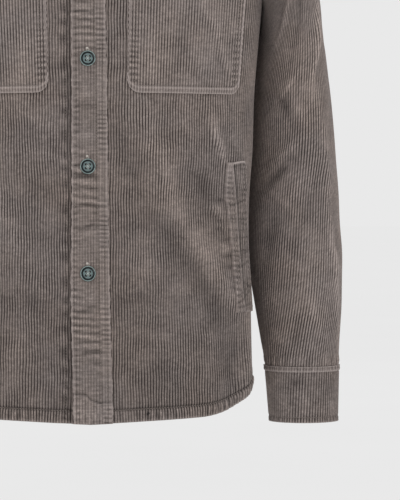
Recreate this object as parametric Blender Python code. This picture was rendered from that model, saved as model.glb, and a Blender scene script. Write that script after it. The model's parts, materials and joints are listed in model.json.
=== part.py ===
"""Corduroy shirt-jacket, buttoned to the neck and filled out as on a wearer.

Metres, +Z up. The front faces -Y and the wearer's left is +X. The origin lies between the two neck
points, at the height where the shoulders carry the cloth. A place on the body is given by u, the
distance round from the centre front or centre back, and by its height.
"""

import math

import bpy
import numpy as np

# Cloth
CLOTH = 0.0018  # one layer of corduroy
DOUBLED = 0.0026  # two layers sewn together
CUFF_WALL = 0.0032
CUFF_PROUD = 0.0018  # the cuff's outer face, from the middle of the sleeve's cloth
SEAM = 0.0003  # gap between neighbours at a seam
LAID = 0.0004  # gap under a piece that lies on a panel
TUCK = CLOTH + 0.0008  # how far the right front steps back to pass under the left

# Heights
HEM = -0.740
HEM_BLEND = -0.620  # above this the rows of the cloth are level
ARM_BLEND = -0.300  # below this too
MID = -0.170  # the narrowest place between the armholes
UNDERARM = -0.262

# Places round the body
PLACKET_LEFT = -0.018
PLACKET_RIGHT = 0.023
PLACKET_SHORT = 0.0016  # how far it stays below the collar stand
UNDERLAP = 0.014
NECK_U = 0.0615
ARM_U = 0.1875
TIP_U = 0.2095
ARM_CURVE = 1.6
NECK_CURVE = 2.2
LAP_END = 0.036
LAP_EASE = 0.014

# Shoulders and neck
SHOULDER_SLOPE = 0.35
SHOULDER_REACH = 0.223
NECK_ROUND = 0.100  # how far below the shoulder seam the cloth has turned down, at the neck
TIP_ROUND = 0.045  # and at the sleeve
FRONT_DROP = 0.095
BACK_DROP = 0.006
STAND_HEIGHT = 0.033
STAND_FALL = 0.004  # how much lower the stand is at the front
STAND_LEAN = 0.004
STAND_LAP = 0.0019
STAND_CLEAR = 0.0006
COLLAR_ROLL = 0.0036
COLLAR_PROUD = 0.0060  # how far its outer edge stands off the body
COLLAR_BULGE = 0.004
LEAF_STEP = 0.0160
# The collar's outer edge over the body, from its left point (0) to the centre back (0.5)
COLLAR_EDGE_COLUMNS = ("share", "on_back", "u", "height")
COLLAR_EDGE = (
    (0.00, False, 0.046, -0.132),
    (0.10, False, 0.070, -0.098),
    (0.18, False, 0.087, -0.056),
    (0.225, False, 0.0945, -0.032),
    (0.27, False, 0.097, -0.0145),
    (0.315, True, 0.093, -0.023),
    (0.36, True, 0.081, -0.032),
    (0.43, True, 0.048, -0.036),
    (0.50, True, 0.000, -0.036),
)

# Shirt-tail hem
TAIL_RISE = 0.027
TAIL_REACH = 0.124
HEM_SLANT = 0.0125

# Chest pockets
POCKET_INNER = 0.0435
POCKET_OUTER = 0.1780
POCKET_BOTTOM = -0.370
POCKET_TOP = -0.225
POCKET_CORNER = 0.014

# Hand pocket welts
WELT_TOP = -0.448
WELT_BOTTOM = -0.618
WELT_TOP_U = 0.1690
WELT_BOTTOM_U = 0.1990
WELT_WIDTH = 0.031
WELT_WALL = 0.0020
WELT_CORNER = 0.010

# Buttons
BUTTON_RADIUS = 0.0088
CUFF_BUTTON_RADIUS = 0.0075
BUTTON_SPACING = 0.120
LOWEST_BUTTON = -0.571
BUTTON_SIDES = 14
BUTTON_PROFILE_COLUMNS = ("share_of_radius", "height")
BUTTON_PROFILE = ((0.78, 0.0), (1.0, 0.0009), (1.0, 0.0022), (0.90, 0.0030), (0.76, 0.0030), (0.64, 0.0021))
CUFF_BUTTON_TURN = -112  # degrees round the cuff from its outer edge

# The filled-out body, from the hem up to the neck
BODY_COLUMNS = ("height", "half_width", "front_depth", "back_depth")
BODY = (
    (-0.770, 0.1910, 0.1170, 0.1180),
    (-0.700, 0.1878, 0.1165, 0.1170),
    (-0.655, 0.1864, 0.1155, 0.1150),
    (-0.610, 0.1856, 0.1150, 0.1140),
    (-0.545, 0.1834, 0.1140, 0.1120),
    (-0.487, 0.1838, 0.1140, 0.1120),
    (-0.440, 0.1872, 0.1160, 0.1140),
    (-0.368, 0.1897, 0.1180, 0.1170),
    (-0.320, 0.1936, 0.1190, 0.1200),
    (-0.264, 0.1985, 0.1190, 0.1220),
    (-0.200, 0.2035, 0.1120, 0.1220),
    (-0.150, 0.2090, 0.1010, 0.1190),
    (-0.100, 0.2155, 0.0850, 0.1120),
    (-0.050, 0.2230, 0.0740, 0.1000),
    (0.000, 0.2300, 0.0660, 0.0800),
    (0.040, 0.2350, 0.0620, 0.0700),
)
ROUNDNESS = 2.5  # 2 is an ellipse, and more is squarer
REFERENCE_HALF_WIDTH = 0.188
REFERENCE_DEPTH = 0.116

# The left sleeve from its armhole (row 0) to the cuff seam (row 10) and the cuff's edge (row 11)
SLEEVE_COLUMNS = ("row", "outer_x", "outer_z", "inner_x", "inner_z", "half_depth", "centre_y", "lean")
SLEEVE = (
    (0, 0.2155, -0.0500, 0.1985, -0.2620, 0.0560, 0.0000, 0.00),
    (1, 0.2365, -0.0950, 0.2010, -0.2760, 0.0650, 0.0080, 0.06),
    (2, 0.2480, -0.1600, 0.2000, -0.2950, 0.0725, 0.0200, 0.14),
    (3, 0.2585, -0.2450, 0.1950, -0.3250, 0.0765, 0.0340, 0.20),
    (4, 0.2720, -0.3300, 0.1900, -0.3750, 0.0745, 0.0460, 0.20),
    (5, 0.2825, -0.4150, 0.1870, -0.4400, 0.0695, 0.0520, 0.18),
    (6, 0.2890, -0.4930, 0.1850, -0.5050, 0.0630, 0.0530, 0.12),
    (7, 0.2932, -0.5510, 0.1865, -0.5560, 0.0575, 0.0500, 0.08),
    (8, 0.2938, -0.6090, 0.1945, -0.6090, 0.0515, 0.0450, 0.04),
    (9, 0.2912, -0.6550, 0.2020, -0.6550, 0.0460, 0.0420, 0.00),
    (10, 0.2900, -0.6840, 0.2068, -0.6840, 0.0425, 0.0400, 0.00),
    (11, 0.2888, -0.7490, 0.2125, -0.7490, 0.0395, 0.0400, 0.00),
)
CUFF_ROW = 10
CUFF_EDGE_ROW = 11
CUFF_SEAM_STEP = 0.029  # the height of the last row above the cuff
ARMHOLE_FADE_ROW = 3  # from here down the sleeve has forgotten the armhole's shape
SLEEVE_CLEAR = 0.0032  # the sleeve's cloth stays this far off the body's
SLEEVE_EASE = 0.8  # rows from the armhole over which it comes clear

# Soft folds: where each is, its turn from upright in degrees, how long, how wide and how high
FOLD_COLUMNS = ("u", "height", "turn", "length", "width", "rise")
FRONT_FOLDS = (
    (0.080, -0.520, 4, 0.150, 0.022, 0.0030),
    (0.118, -0.560, -5, 0.120, 0.020, -0.0022),
    (0.155, -0.600, -6, 0.110, 0.020, 0.0028),
    (0.150, -0.420, -16, 0.045, 0.010, 0.0022),
    (0.205, -0.690, -8, 0.060, 0.018, 0.0030),
    (0.050, -0.660, 6, 0.080, 0.018, -0.0018),
)
BACK_FOLDS = (
    (0.060, -0.560, 3, 0.160, 0.026, 0.0032),
    (0.110, -0.500, -4, 0.140, 0.024, -0.0028),
    (0.150, -0.600, -5, 0.110, 0.022, 0.0030),
    (0.000, -0.640, 0, 0.120, 0.024, -0.0026),
    (0.120, -0.250, 30, 0.060, 0.018, 0.0030),
)
# On a sleeve u is degrees round from the outer edge, and height is the row
SLEEVE_FOLD_COLUMNS = ("around", "row", "slant", "width", "length", "rise")
SLEEVE_FOLDS = (
    (70, 3.6, 10, 0.32, 45, 0.0030),
    (95, 4.5, 14, 0.34, 50, -0.0030),
    (60, 5.3, -12, 0.34, 45, 0.0028),
    (110, 6.2, 12, 0.36, 40, -0.0026),
    (45, 7.4, 9, 0.40, 40, 0.0020),
    (-80, 4.2, -12, 0.36, 50, 0.0032),
    (-100, 5.4, 12, 0.36, 50, -0.0032),
    (-70, 6.6, -10, 0.38, 45, 0.0026),
)

# Where the cloth's rows and columns run
NECK_COLUMNS = (0.0435, 0.0525, 0.0573, 0.0602, NECK_U)
SIDE_COLUMNS = (0.079, 0.0965, 0.114, 0.1315, 0.149, 0.164, 0.178, ARM_U)
LEFT_COLUMNS = (PLACKET_LEFT, -0.007, 0.004, 0.0135, PLACKET_RIGHT, 0.033)
RIGHT_COLUMNS = (-UNDERLAP, 0.0, 0.012, 0.022, 0.029, 0.036)
BACK_COLUMNS = (0.018, 0.036, 0.0525, NECK_U, 0.082, 0.105, 0.128, 0.150, 0.170, ARM_U)
LEVELS = (
    (HEM, -0.710, -0.668, HEM_BLEND, -0.575, -0.531, -0.487, -0.450, -0.410)
    + (POCKET_BOTTOM, -0.335, ARM_BLEND, -0.262, POCKET_TOP, MID)
)
UPPER_ROWS = 7
UPPER_ARM_STEPS = 5
LOWER_ARM_STEPS = 6
SLEEVE_ROWS = (0, 0.35, 0.8, 1.3, 1.9, 2.5, 3, 3.5, 4, 4.5, 5, 5.5, 6, 6.5, 7, 7.5, 8, 8.6, 9.3, CUFF_ROW)

SIDES = (("left", False), ("right", True))
MIRROR = np.array([-1.0, 1.0, 1.0])

MATERIALS = {
    "corduroy": ((0.105, 0.088, 0.080, 1.0), 0.95),
    "corduroy_trim": ((0.120, 0.102, 0.092, 1.0), 0.95),
    "button": ((0.035, 0.055, 0.062, 1.0), 0.35),
}


def smooth_step(value):
    held = np.clip(value, 0.0, 1.0)
    return held * held * (3.0 - 2.0 * held)


def looked_up(table, columns, name, at):
    """A column of a table as a smooth curve over its first column."""
    rows = np.asarray(table, float)
    places, values = rows[:, 0], rows[:, columns.index(name)]
    slopes = np.gradient(values, places)
    at = np.clip(at, places[0], places[-1])
    i = np.clip(np.searchsorted(places, at, side="right") - 1, 0, len(places) - 2)
    width = places[i + 1] - places[i]
    s = (at - places[i]) / width
    start = (2 * s**3 - 3 * s**2 + 1) * values[i] + (s**3 - 2 * s**2 + s) * width * slopes[i]
    end = (3 * s**2 - 2 * s**3) * values[i + 1] + (s**3 - s**2) * width * slopes[i + 1]
    return start + end


# A quarter of the body's section, with the distance along it
TURNS = np.linspace(0.0, math.pi / 2, 1441)
QUARTER_X = np.sin(TURNS) ** (2 / ROUNDNESS)
QUARTER_Y = np.cos(TURNS) ** (2 / ROUNDNESS)
STEPS = np.hypot(REFERENCE_HALF_WIDTH * np.diff(QUARTER_X), REFERENCE_DEPTH * np.diff(QUARTER_Y))
ALONG = np.concatenate([[0.0], np.cumsum(STEPS)])
HALF_GIRTH = float(ALONG[-1])


def share_across(u):
    return np.interp(np.abs(u), ALONG, QUARTER_X)


def share_deep(u):
    return np.interp(np.abs(u), ALONG, QUARTER_Y)


def shoulder_height(u):
    return -SHOULDER_SLOPE * SHOULDER_REACH * (share_across(u) - share_across(NECK_U))


def shoulder_round(u):
    return NECK_ROUND + (TIP_ROUND - NECK_ROUND) * smooth_step(np.abs(u) / TIP_U)


def turn_at(u, z):
    """How far over the shoulder a height lies: 0 on the shoulder seam, and a right angle where it ends."""
    below = (shoulder_height(u) - z) / shoulder_round(u)
    return np.where(below < 1, np.arccos(np.clip(1 - below, 0.0, 1.0)), math.pi / 2 + below - 1)


def bare_body(u, turn, back):
    """The body's surface before its folds, by how far over the shoulder it lies."""
    rounded = np.clip(turn, None, math.pi / 2)
    z = shoulder_height(u) - shoulder_round(u) * (1 - np.cos(rounded) + turn - rounded)
    depth = looked_up(BODY, BODY_COLUMNS, "back_depth" if back else "front_depth", z)
    x = np.where(u < 0, -1.0, 1.0) * looked_up(BODY, BODY_COLUMNS, "half_width", z) * share_across(u)
    y = (1.0 if back else -1.0) * depth * share_deep(u) * np.sin(rounded)
    return np.stack([x, y, z], axis=-1)


def unit(vectors):
    return vectors / np.linalg.norm(vectors, axis=-1, keepdims=True)


def body_normal(u, z, back, nudge=0.0004):
    u, z = np.broadcast_arrays(np.asarray(u, float), np.asarray(z, float))
    turn = turn_at(u, z)
    across = bare_body(u + nudge, turn, back) - bare_body(u - nudge, turn, back)
    down = bare_body(u, turn + 5 * nudge, back) - bare_body(u, turn - 5 * nudge, back)
    return unit(np.cross(down, across)) * (-1.0 if back else 1.0)


def body_fold(u, z, back):
    """How far the soft folds stand out. They die away at the side seam, the shoulders and the armholes."""
    total = np.zeros(np.broadcast(u, z).shape)
    for row in BACK_FOLDS if back else FRONT_FOLDS:
        fold = dict(zip(FOLD_COLUMNS, row))
        turn = math.radians(fold["turn"])
        du, dz = np.abs(u) - fold["u"], z - fold["height"]
        across = du * math.cos(turn) + dz * math.sin(turn)
        along = dz * math.cos(turn) - du * math.sin(turn)
        total = total + fold["rise"] * np.exp(-((across / fold["width"]) ** 2) - (along / fold["length"]) ** 2)
    at_seam = smooth_step((HALF_GIRTH - np.abs(u)) / 0.030)
    at_top = smooth_step((MID - 0.02 - z) / 0.05)
    return total * at_seam * at_top


def body(u, z, back=False, out=0.0):
    """A point on the cloth, out metres proud of it."""
    u, z = np.broadcast_arrays(np.asarray(u, float), np.asarray(z, float))
    stand = body_fold(u, z, back) + out
    return bare_body(u, turn_at(u, z), back) + body_normal(u, z, back) * np.asarray(stand)[..., None]


def hem_rise(u):
    from_seam = HALF_GIRTH - np.abs(u)
    tail = TAIL_RISE / 2 * (1 + np.cos(np.pi * np.clip(from_seam / TAIL_REACH, 0.0, 1.0)))
    return tail + HEM_SLANT * (1 - from_seam / HALF_GIRTH)


def neck_height(u, back):
    drop = BACK_DROP if back else FRONT_DROP
    return -drop * (1 - np.clip(np.abs(u) / NECK_U, 0.0, 1.0) ** NECK_CURVE)


def tip_height():
    return float(shoulder_height(TIP_U))


def armhole(share):
    """(u, height) on the armhole, from the shoulder tip (0) by its inmost point to the underarm (1)."""
    share = np.asarray(share, float)
    turn_share = UPPER_ARM_STEPS / (UPPER_ARM_STEPS + LOWER_ARM_STEPS)
    up = np.clip(1 - share / turn_share, 0.0, 1.0)
    down = np.clip((share - turn_share) / (1 - turn_share), 0.0, 1.0) * math.pi / 2
    u = ARM_U + (TIP_U - ARM_U) * up**ARM_CURVE + (HALF_GIRTH - SEAM / 2 - ARM_U) * (1 - np.cos(down))
    z = MID + (tip_height() - MID) * up + (UNDERARM - MID) * np.sin(down)
    return u, z


def lower_height(u, level):
    """Where a row of the cloth below the armholes' inmost points lies."""
    u = np.abs(u)
    turned = np.clip((u - ARM_U) / (HALF_GIRTH - SEAM / 2 - ARM_U), 0.0, 1.0)
    top = MID + (UNDERARM - MID) * np.sqrt(np.clip(1 - (1 - turned) ** 2, 0.0, 1.0))
    near_hem = np.clip((HEM_BLEND - level) / (HEM_BLEND - HEM), 0.0, 1.0)
    near_arm = ARM_BLEND + (level - ARM_BLEND) * (top - ARM_BLEND) / (MID - ARM_BLEND)
    return np.where(level > ARM_BLEND, near_arm, level + hem_rise(u) * near_hem)


def upper_height(u, share, back):
    """Where a row above them lies, from there (0) to the neck or the shoulder seam (1)."""
    shoulder = shoulder_height(u)
    up = np.clip((np.abs(u) - ARM_U) / (TIP_U - ARM_U), 0.0, 1.0) ** (1 / ARM_CURVE)
    bottom = MID + (tip_height() - MID) * up
    start = turn_at(u, bottom)
    at_neck = turn_at(u, neck_height(u, back))
    half_seam = SEAM / 2 / (0.07 * share_deep(u))
    end = np.where(np.abs(u) < NECK_U, np.maximum(at_neck, half_seam), half_seam)
    start = np.maximum(start, end)
    return bare_body(u, start + (end - start) * share, back)[..., 2]


def material(name):
    colour, roughness = MATERIALS[name]
    made = bpy.data.materials.get(name)
    if made is None:
        made = bpy.data.materials.new(name)
        made.use_nodes = True
        shader = made.node_tree.nodes["Principled BSDF"]
        shader.inputs["Base Color"].default_value = colour
        shader.inputs["Roughness"].default_value = roughness
        shader.inputs["Metallic"].default_value = 0.0
    return made


def grid_faces(rows, columns, closed=False):
    """Quads of a grid of points stored row by row."""
    last = columns if closed else columns - 1
    return [
        (low + c, low + (c + 1) % columns, low + columns + (c + 1) % columns, low + columns + c)
        for low in range(0, (rows - 1) * columns, columns)
        for c in range(last)
    ]


def welded(points, normals, faces):
    """One vertex where several lie together, with the faces that this collapses dropped or narrowed."""
    _, first, index = np.unique(np.round(points, 7), axis=0, return_index=True, return_inverse=True)
    index = index.reshape(-1)
    kept = []
    for face in faces:
        corners = []
        for corner in (int(index[i]) for i in face):
            if corner not in corners:
                corners.append(corner)
        if len(corners) > 2:
            kept.append(tuple(corners))
    return points[first], normals[first], kept


def add_piece(name, vertices, faces, finish, crease, mirrored):
    """One named object. Edges sharper than crease, in degrees, stay sharp."""
    if mirrored:
        vertices = vertices * MIRROR
        faces = [tuple(reversed(face)) for face in faces]
    mesh = bpy.data.meshes.new(name)
    mesh.from_pydata([tuple(vertex) for vertex in vertices.tolist()], [], faces)
    mesh.shade_smooth()
    mesh.set_sharp_from_angle(angle=math.radians(crease))
    mesh.materials.append(material(finish))
    bpy.context.scene.collection.objects.link(bpy.data.objects.new(name, mesh))


def wall(name, points, normals, faces, outer, inner, finish, mirrored=False):
    """A closed solid from a sheet of cloth: its outer face, its inner face and the edge between them."""
    points, normals = points.reshape(-1, 3), normals.reshape(-1, 3)
    points, normals, faces = welded(points, normals, faces)
    count = len(points)
    vertices = np.concatenate([points + normals * outer, points - normals * inner])
    edges = {}
    for face in faces:
        for a, b in zip(face, face[1:] + face[:1]):
            edges[(a, b)] = True
    rims = [(b, a, a + count, b + count) for a, b in edges if (b, a) not in edges]
    backs = [tuple(corner + count for corner in reversed(face)) for face in faces]
    closed = list(faces) + backs + rims
    add_piece(name, vertices, closed, finish, 50, mirrored)


def lap_share(u):
    """1 where one front lies over the other, falling to 0 beside it."""
    return smooth_step((LAP_END - u) / LAP_EASE)


def panel(name, columns, lower_extra, upper_extra, back=False, tucked=False, mirrored=False):
    """A front or the back: a lower sheet with the side seams, and an upper one with the shoulders."""
    sheets = []
    lower = np.array(sorted(set(columns) | set(lower_extra)))
    upper = np.array(sorted(set(columns) | set(upper_extra)))
    u, level = np.meshgrid(lower, np.array(LEVELS))
    sheets.append((u, lower_height(u, level)))
    u, share = np.meshgrid(upper, np.linspace(0.0, 1.0, UPPER_ROWS + 1))
    sheets.append((u, upper_height(u, share, back)))
    points, normals, faces, start = [], [], [], 0
    for u, z in sheets:
        out = -TUCK * lap_share(u) if tucked else 0.0
        points.append(body(u, z, back, out).reshape(-1, 3))
        normals.append(body_normal(u, z, back).reshape(-1, 3))
        quads = grid_faces(*u.shape)
        faces += [tuple(start + i for i in (reversed(q) if back else q)) for q in quads]
        start += u.size
    half = CLOTH / 2
    return wall(name, np.concatenate(points), np.concatenate(normals), faces, half, half, "corduroy", mirrored)


def arm_columns():
    steps = np.arange(1, LOWER_ARM_STEPS + 1) / LOWER_ARM_STEPS
    turn_share = UPPER_ARM_STEPS / (UPPER_ARM_STEPS + LOWER_ARM_STEPS)
    lower = armhole(turn_share + (1 - turn_share) * steps)[0]
    steps = np.arange(0, UPPER_ARM_STEPS) / UPPER_ARM_STEPS
    upper = armhole(turn_share * steps)[0]
    return tuple(lower.tolist()), tuple(upper.tolist())


def make_body():
    lower_arm, upper_arm = arm_columns()
    left = LEFT_COLUMNS + NECK_COLUMNS + SIDE_COLUMNS
    right = RIGHT_COLUMNS + NECK_COLUMNS + SIDE_COLUMNS
    panel("front_left", left, lower_arm, upper_arm)
    panel("front_right", right, lower_arm, upper_arm, tucked=True, mirrored=True)
    half = BACK_COLUMNS + (0.0,)
    both = half + tuple(-u for u in half)
    lower_both, upper_both = (side + tuple(-u for u in side) for side in (lower_arm, upper_arm))
    panel("back", both, lower_both, upper_both, back=True)


def laid_on(name, u, z, thickness, finish, mirrored=False):
    """A flat piece sewn on the front, over the panel's points."""
    half = thickness / 2
    points, normals = body(u, z, False, CLOTH / 2 + LAID + half), body_normal(u, z, False)
    wall(name, points, normals, grid_faces(*u.shape), half, half, finish, mirrored)


def make_placket():
    columns = np.array(LEFT_COLUMNS[:5])
    u, level = np.meshgrid(columns, np.array(LEVELS))
    low = lower_height(u, level)
    upper_u, share = np.meshgrid(columns, np.linspace(0.0, 1.0, UPPER_ROWS + 1))
    high = upper_height(upper_u, share, False) - PLACKET_SHORT * smooth_step(2 * share - 1)
    laid_on("placket", np.vstack([u, upper_u[1:]]), np.vstack([low, high[1:]]), DOUBLED, "corduroy_trim")


def make_chest_pockets():
    corner = POCKET_CORNER * (1 - math.cos(math.radians(45)))
    in_from_edge = (0.0, corner, POCKET_CORNER)
    columns = np.array(
        tuple(POCKET_INNER + inside for inside in in_from_edge)
        + tuple(u for u in SIDE_COLUMNS if POCKET_INNER + POCKET_CORNER < u < POCKET_OUTER - POCKET_CORNER)
        + tuple(POCKET_OUTER - inside for inside in reversed(in_from_edge))
    )
    from_edge = np.minimum(columns - POCKET_INNER, POCKET_OUTER - columns)
    inside = np.clip(1 - from_edge / POCKET_CORNER, 0.0, 1.0)
    bottom = POCKET_BOTTOM + POCKET_CORNER * (1 - np.sqrt(1 - inside**2))
    share = np.linspace(0.0, 1.0, 7)[:, None]
    z = bottom + (POCKET_TOP - bottom) * share
    u = np.broadcast_to(columns, z.shape)
    laid_on("chest_pocket_left", u, z, CLOTH, "corduroy")
    laid_on("chest_pocket_right", u, z, CLOTH, "corduroy", mirrored=True)


def make_welts():
    down, across = np.meshgrid(np.linspace(1.0, 0.0, 8), np.linspace(0.0, 1.0, 5), indexing="ij")
    slope = WELT_CORNER * across**3 * (1 - down) ** 4  # the outer top corner is taken off
    u = WELT_TOP_U + (WELT_BOTTOM_U - WELT_TOP_U) * down + WELT_WIDTH * across
    z = WELT_TOP + (WELT_BOTTOM - WELT_TOP) * down - slope
    laid_on("hand_pocket_welt_left", u, z, WELT_WALL, "corduroy_trim")
    laid_on("hand_pocket_welt_right", u, z, WELT_WALL, "corduroy_trim", mirrored=True)


def half_width_at(y, z):
    """The body's half width at this depth, or nothing past its front and back."""
    depth = np.where(
        y < 0,
        looked_up(BODY, BODY_COLUMNS, "front_depth", z),
        looked_up(BODY, BODY_COLUMNS, "back_depth", z),
    )
    share = np.clip(np.abs(y) / depth, 0.0, 1.0)
    return looked_up(BODY, BODY_COLUMNS, "half_width", z) * (1 - share**ROUNDNESS) ** (1 / ROUNDNESS)


def sleeve_oval(row, around):
    """The sleeve's section at a row: an oval hung between its outer and its inner edge."""
    c = {name: looked_up(SLEEVE, SLEEVE_COLUMNS, name, row) for name in SLEEVE_COLUMNS[1:]}
    away = np.cos(around)
    y = c["centre_y"] - c["half_depth"] * np.sin(around)
    x = (c["outer_x"] + c["inner_x"]) / 2 + (c["outer_x"] - c["inner_x"]) / 2 * away
    z = (c["outer_z"] + c["inner_z"]) / 2 + (c["outer_z"] - c["inner_z"]) / 2 * away
    return np.stack([x - c["lean"] * (y - c["centre_y"]), y, z], axis=-1)


def armhole_point(around):
    """The armhole at an angle round the sleeve: 0 is the shoulder tip, and the front comes first."""
    around = np.mod(around, 2 * math.pi)
    front = around <= math.pi
    share = np.where(front, around, 2 * math.pi - around) / math.pi
    u, z = armhole(share)
    point = np.where(front[..., None], body(u, z, False), body(u, z, True))
    normal = np.where(front[..., None], body_normal(u, z, False), body_normal(u, z, True))
    return point, normal


def armhole_offset(around):
    """How far the sleeve's first ring stands off the panels' edge, so that the two walls only meet."""
    point, normal = armhole_point(around)
    before, after = armhole_point(around - 0.02)[0], armhole_point(around + 0.02)[0]
    off_edge = unit(np.cross(unit(after - before), normal))
    off_edge = off_edge * np.where(off_edge[..., :1] < 0, -1.0, 1.0)
    up_there = np.cos(around)[..., None] < -0.97
    off_edge = np.where(up_there, np.array([0.0, 0.0, 1.0]), off_edge)
    onward = unit(sleeve_oval(np.full_like(around, 1.0), around) - point)
    bend = np.arccos(np.clip(np.sum(off_edge * onward, axis=-1), -1.0, 1.0))
    half = CLOTH / 2
    past = half * np.sin(bend) + SEAM
    beside = (half * (1 - np.cos(bend)) + SEAM) * np.clip((bend - math.radians(60)) / math.radians(30), 0, 1)
    return off_edge * past[..., None] + normal * beside[..., None]


def sleeve_fold(row, around):
    total = np.zeros(np.broadcast(row, around).shape)
    degrees = np.mod(np.degrees(around) + 180, 360) - 180
    for values in SLEEVE_FOLDS:
        fold = dict(zip(SLEEVE_FOLD_COLUMNS, values))
        apart = degrees - fold["around"]
        level = row - fold["row"] - apart / 90 * fold["slant"] / 10
        total = total + fold["rise"] * np.exp(-((level / fold["width"]) ** 2) - (apart / fold["length"]) ** 2)
    return total * smooth_step((row - 1.0) / 1.5) * smooth_step((9.4 - row) / 1.2)


def bare_sleeve(row, around):
    """The left sleeve's surface before its folds, just clear of the body."""
    row, around = np.broadcast_arrays(np.asarray(row, float), np.asarray(around, float))
    start = armhole_point(around)[0]
    memory = np.clip(1 - row / ARMHOLE_FADE_ROW, 0.0, 1.0) ** 2
    point = sleeve_oval(row, around) + memory[..., None] * (start - sleeve_oval(np.zeros_like(row), around))
    point = point + armhole_offset(around) * np.clip(1 - row / SLEEVE_EASE, 0.0, 1.0)[..., None]
    body_side = half_width_at(point[..., 1], point[..., 2]) + SLEEVE_CLEAR
    softness = 0.003
    pushed = (point[..., 0] + body_side + np.sqrt((point[..., 0] - body_side) ** 2 + softness**2)) / 2
    share = smooth_step(row / SLEEVE_EASE)
    x = point[..., 0] * (1 - share) + pushed * share
    return np.stack([x, point[..., 1], point[..., 2]], axis=-1)


def sleeve(row, around):
    row, around = np.broadcast_arrays(np.asarray(row, float), np.asarray(around, float))
    nudge = 0.01
    above, below = np.maximum(row - nudge, 0), np.minimum(row + nudge, CUFF_EDGE_ROW)
    down = bare_sleeve(below, around) - bare_sleeve(above, around)
    onward = bare_sleeve(row, around + nudge) - bare_sleeve(row, around - nudge)
    normal = unit(np.cross(onward, down))
    return bare_sleeve(row, around) + normal * sleeve_fold(row, around)[..., None], normal


def make_sleeves():
    steps = 2 * (UPPER_ARM_STEPS + LOWER_ARM_STEPS)
    around = np.arange(steps) / steps * 2 * math.pi
    half = CLOTH / 2
    rows = np.array(SLEEVE_ROWS, float)
    rows[-1] -= SEAM / CUFF_SEAM_STEP
    row, angle = np.meshgrid(rows, around, indexing="ij")
    points, normals = sleeve(row, angle)
    faces = grid_faces(len(rows), steps, closed=True)
    for side, mirrored in SIDES:
        wall("sleeve_" + side, points, normals, faces, half, half, "corduroy", mirrored)
    rows = np.array((CUFF_ROW, CUFF_ROW + 0.15, CUFF_ROW + 0.6, CUFF_EDGE_ROW), float)
    row, angle = np.meshgrid(rows, around, indexing="ij")
    points, normals = sleeve(row, angle)
    faces = grid_faces(len(rows), steps, closed=True)
    inner = CUFF_WALL - CUFF_PROUD
    for side, mirrored in SIDES:
        wall("cuff_" + side, points, normals, faces, CUFF_PROUD, inner, "corduroy_trim", mirrored)


def neckline():
    """The neck edge from the left front's end round the back to the right front's, with the way out of the
    cloth there and how far the stand steps out."""
    left = LEFT_COLUMNS + NECK_COLUMNS
    back = (0.0525, 0.036, 0.018, 0.0, -0.018, -0.036, -0.0525)
    right = reversed(RIGHT_COLUMNS + NECK_COLUMNS)
    points, normals, laps = [], [], []
    stretches = (left, False, 1.0, STAND_LAP), (back, True, 1.0, 0.0), (right, False, MIRROR, -STAND_LAP)
    for places, is_back, turned, lap in stretches:
        for u in places:
            z = neck_height(u, is_back)
            points.append(body(u, z, is_back) * turned)
            normals.append(body_normal(u, z, is_back) * turned)
            laps.append(lap * lap_share(u))
    return np.array(points), np.array(normals), np.array(laps)


def stand_rows():
    """The stand's rows, and the way out of it. Its left end laps over its right end."""
    edge, normal, lap = neckline()
    along = np.gradient(edge, axis=0)
    along[0], along[-1] = np.array([1.0, 0.0, 0.0]), np.array([1.0, 0.0, 0.0])
    up = np.array([0.0, 0.0, 1.0])
    outward = unit(np.cross(along, up))
    across_edge = unit(np.cross(outward, along))
    lift = (STAND_CLEAR + CLOTH / 2 * np.abs(np.sum(across_edge * normal, axis=1))) / np.abs(across_edge[:, 2])
    foot = edge + outward * lap[:, None] + up * lift[:, None]
    height = STAND_HEIGHT - STAND_FALL * np.clip(-edge[:, 2:] / FRONT_DROP, 0.0, 1.0)
    rows = [foot + (up * height - outward * STAND_LEAN) * share for share in (0.0, 0.5, 1.0)]
    return np.array(rows), unit(outward + up * STAND_LEAN / STAND_HEIGHT)


def make_collar_stand():
    rows, outward = stand_rows()
    normals = np.broadcast_to(outward, rows.shape)
    half = DOUBLED / 2
    wall("collar_stand", rows, normals, grid_faces(*rows.shape[:2]), half, half, "corduroy_trim")


def collar_edge(share):
    """The collar's outer edge, a little proud of the body. Past the centre back it is mirrored."""
    rows = [dict(zip(COLLAR_EDGE_COLUMNS, row)) for row in COLLAR_EDGE]
    places = [row["share"] for row in rows]
    points = [body(row["u"], row["height"], row["on_back"], COLLAR_PROUD) for row in rows]
    places += [1 - place for place in reversed(places[:-1])]
    points += [point * MIRROR for point in reversed(points[:-1])]
    columns = ("share", "x", "y", "z")
    table = [(place, *point) for place, point in zip(places, points)]
    return np.stack([looked_up(table, columns, name, share) for name in columns[1:]], axis=-1)


def leaf_places(line):
    """Where the leaf has its columns, counted in the stand's points. It stops short of the stand's ends."""
    places = [1.0]
    for i in range(1, len(line) - 3):
        parts = math.ceil(float(np.linalg.norm(line[i + 1] - line[i])) / LEAF_STEP)
        places += [i + (part + 1) / parts for part in range(parts)]
    return np.array(places)


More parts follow.
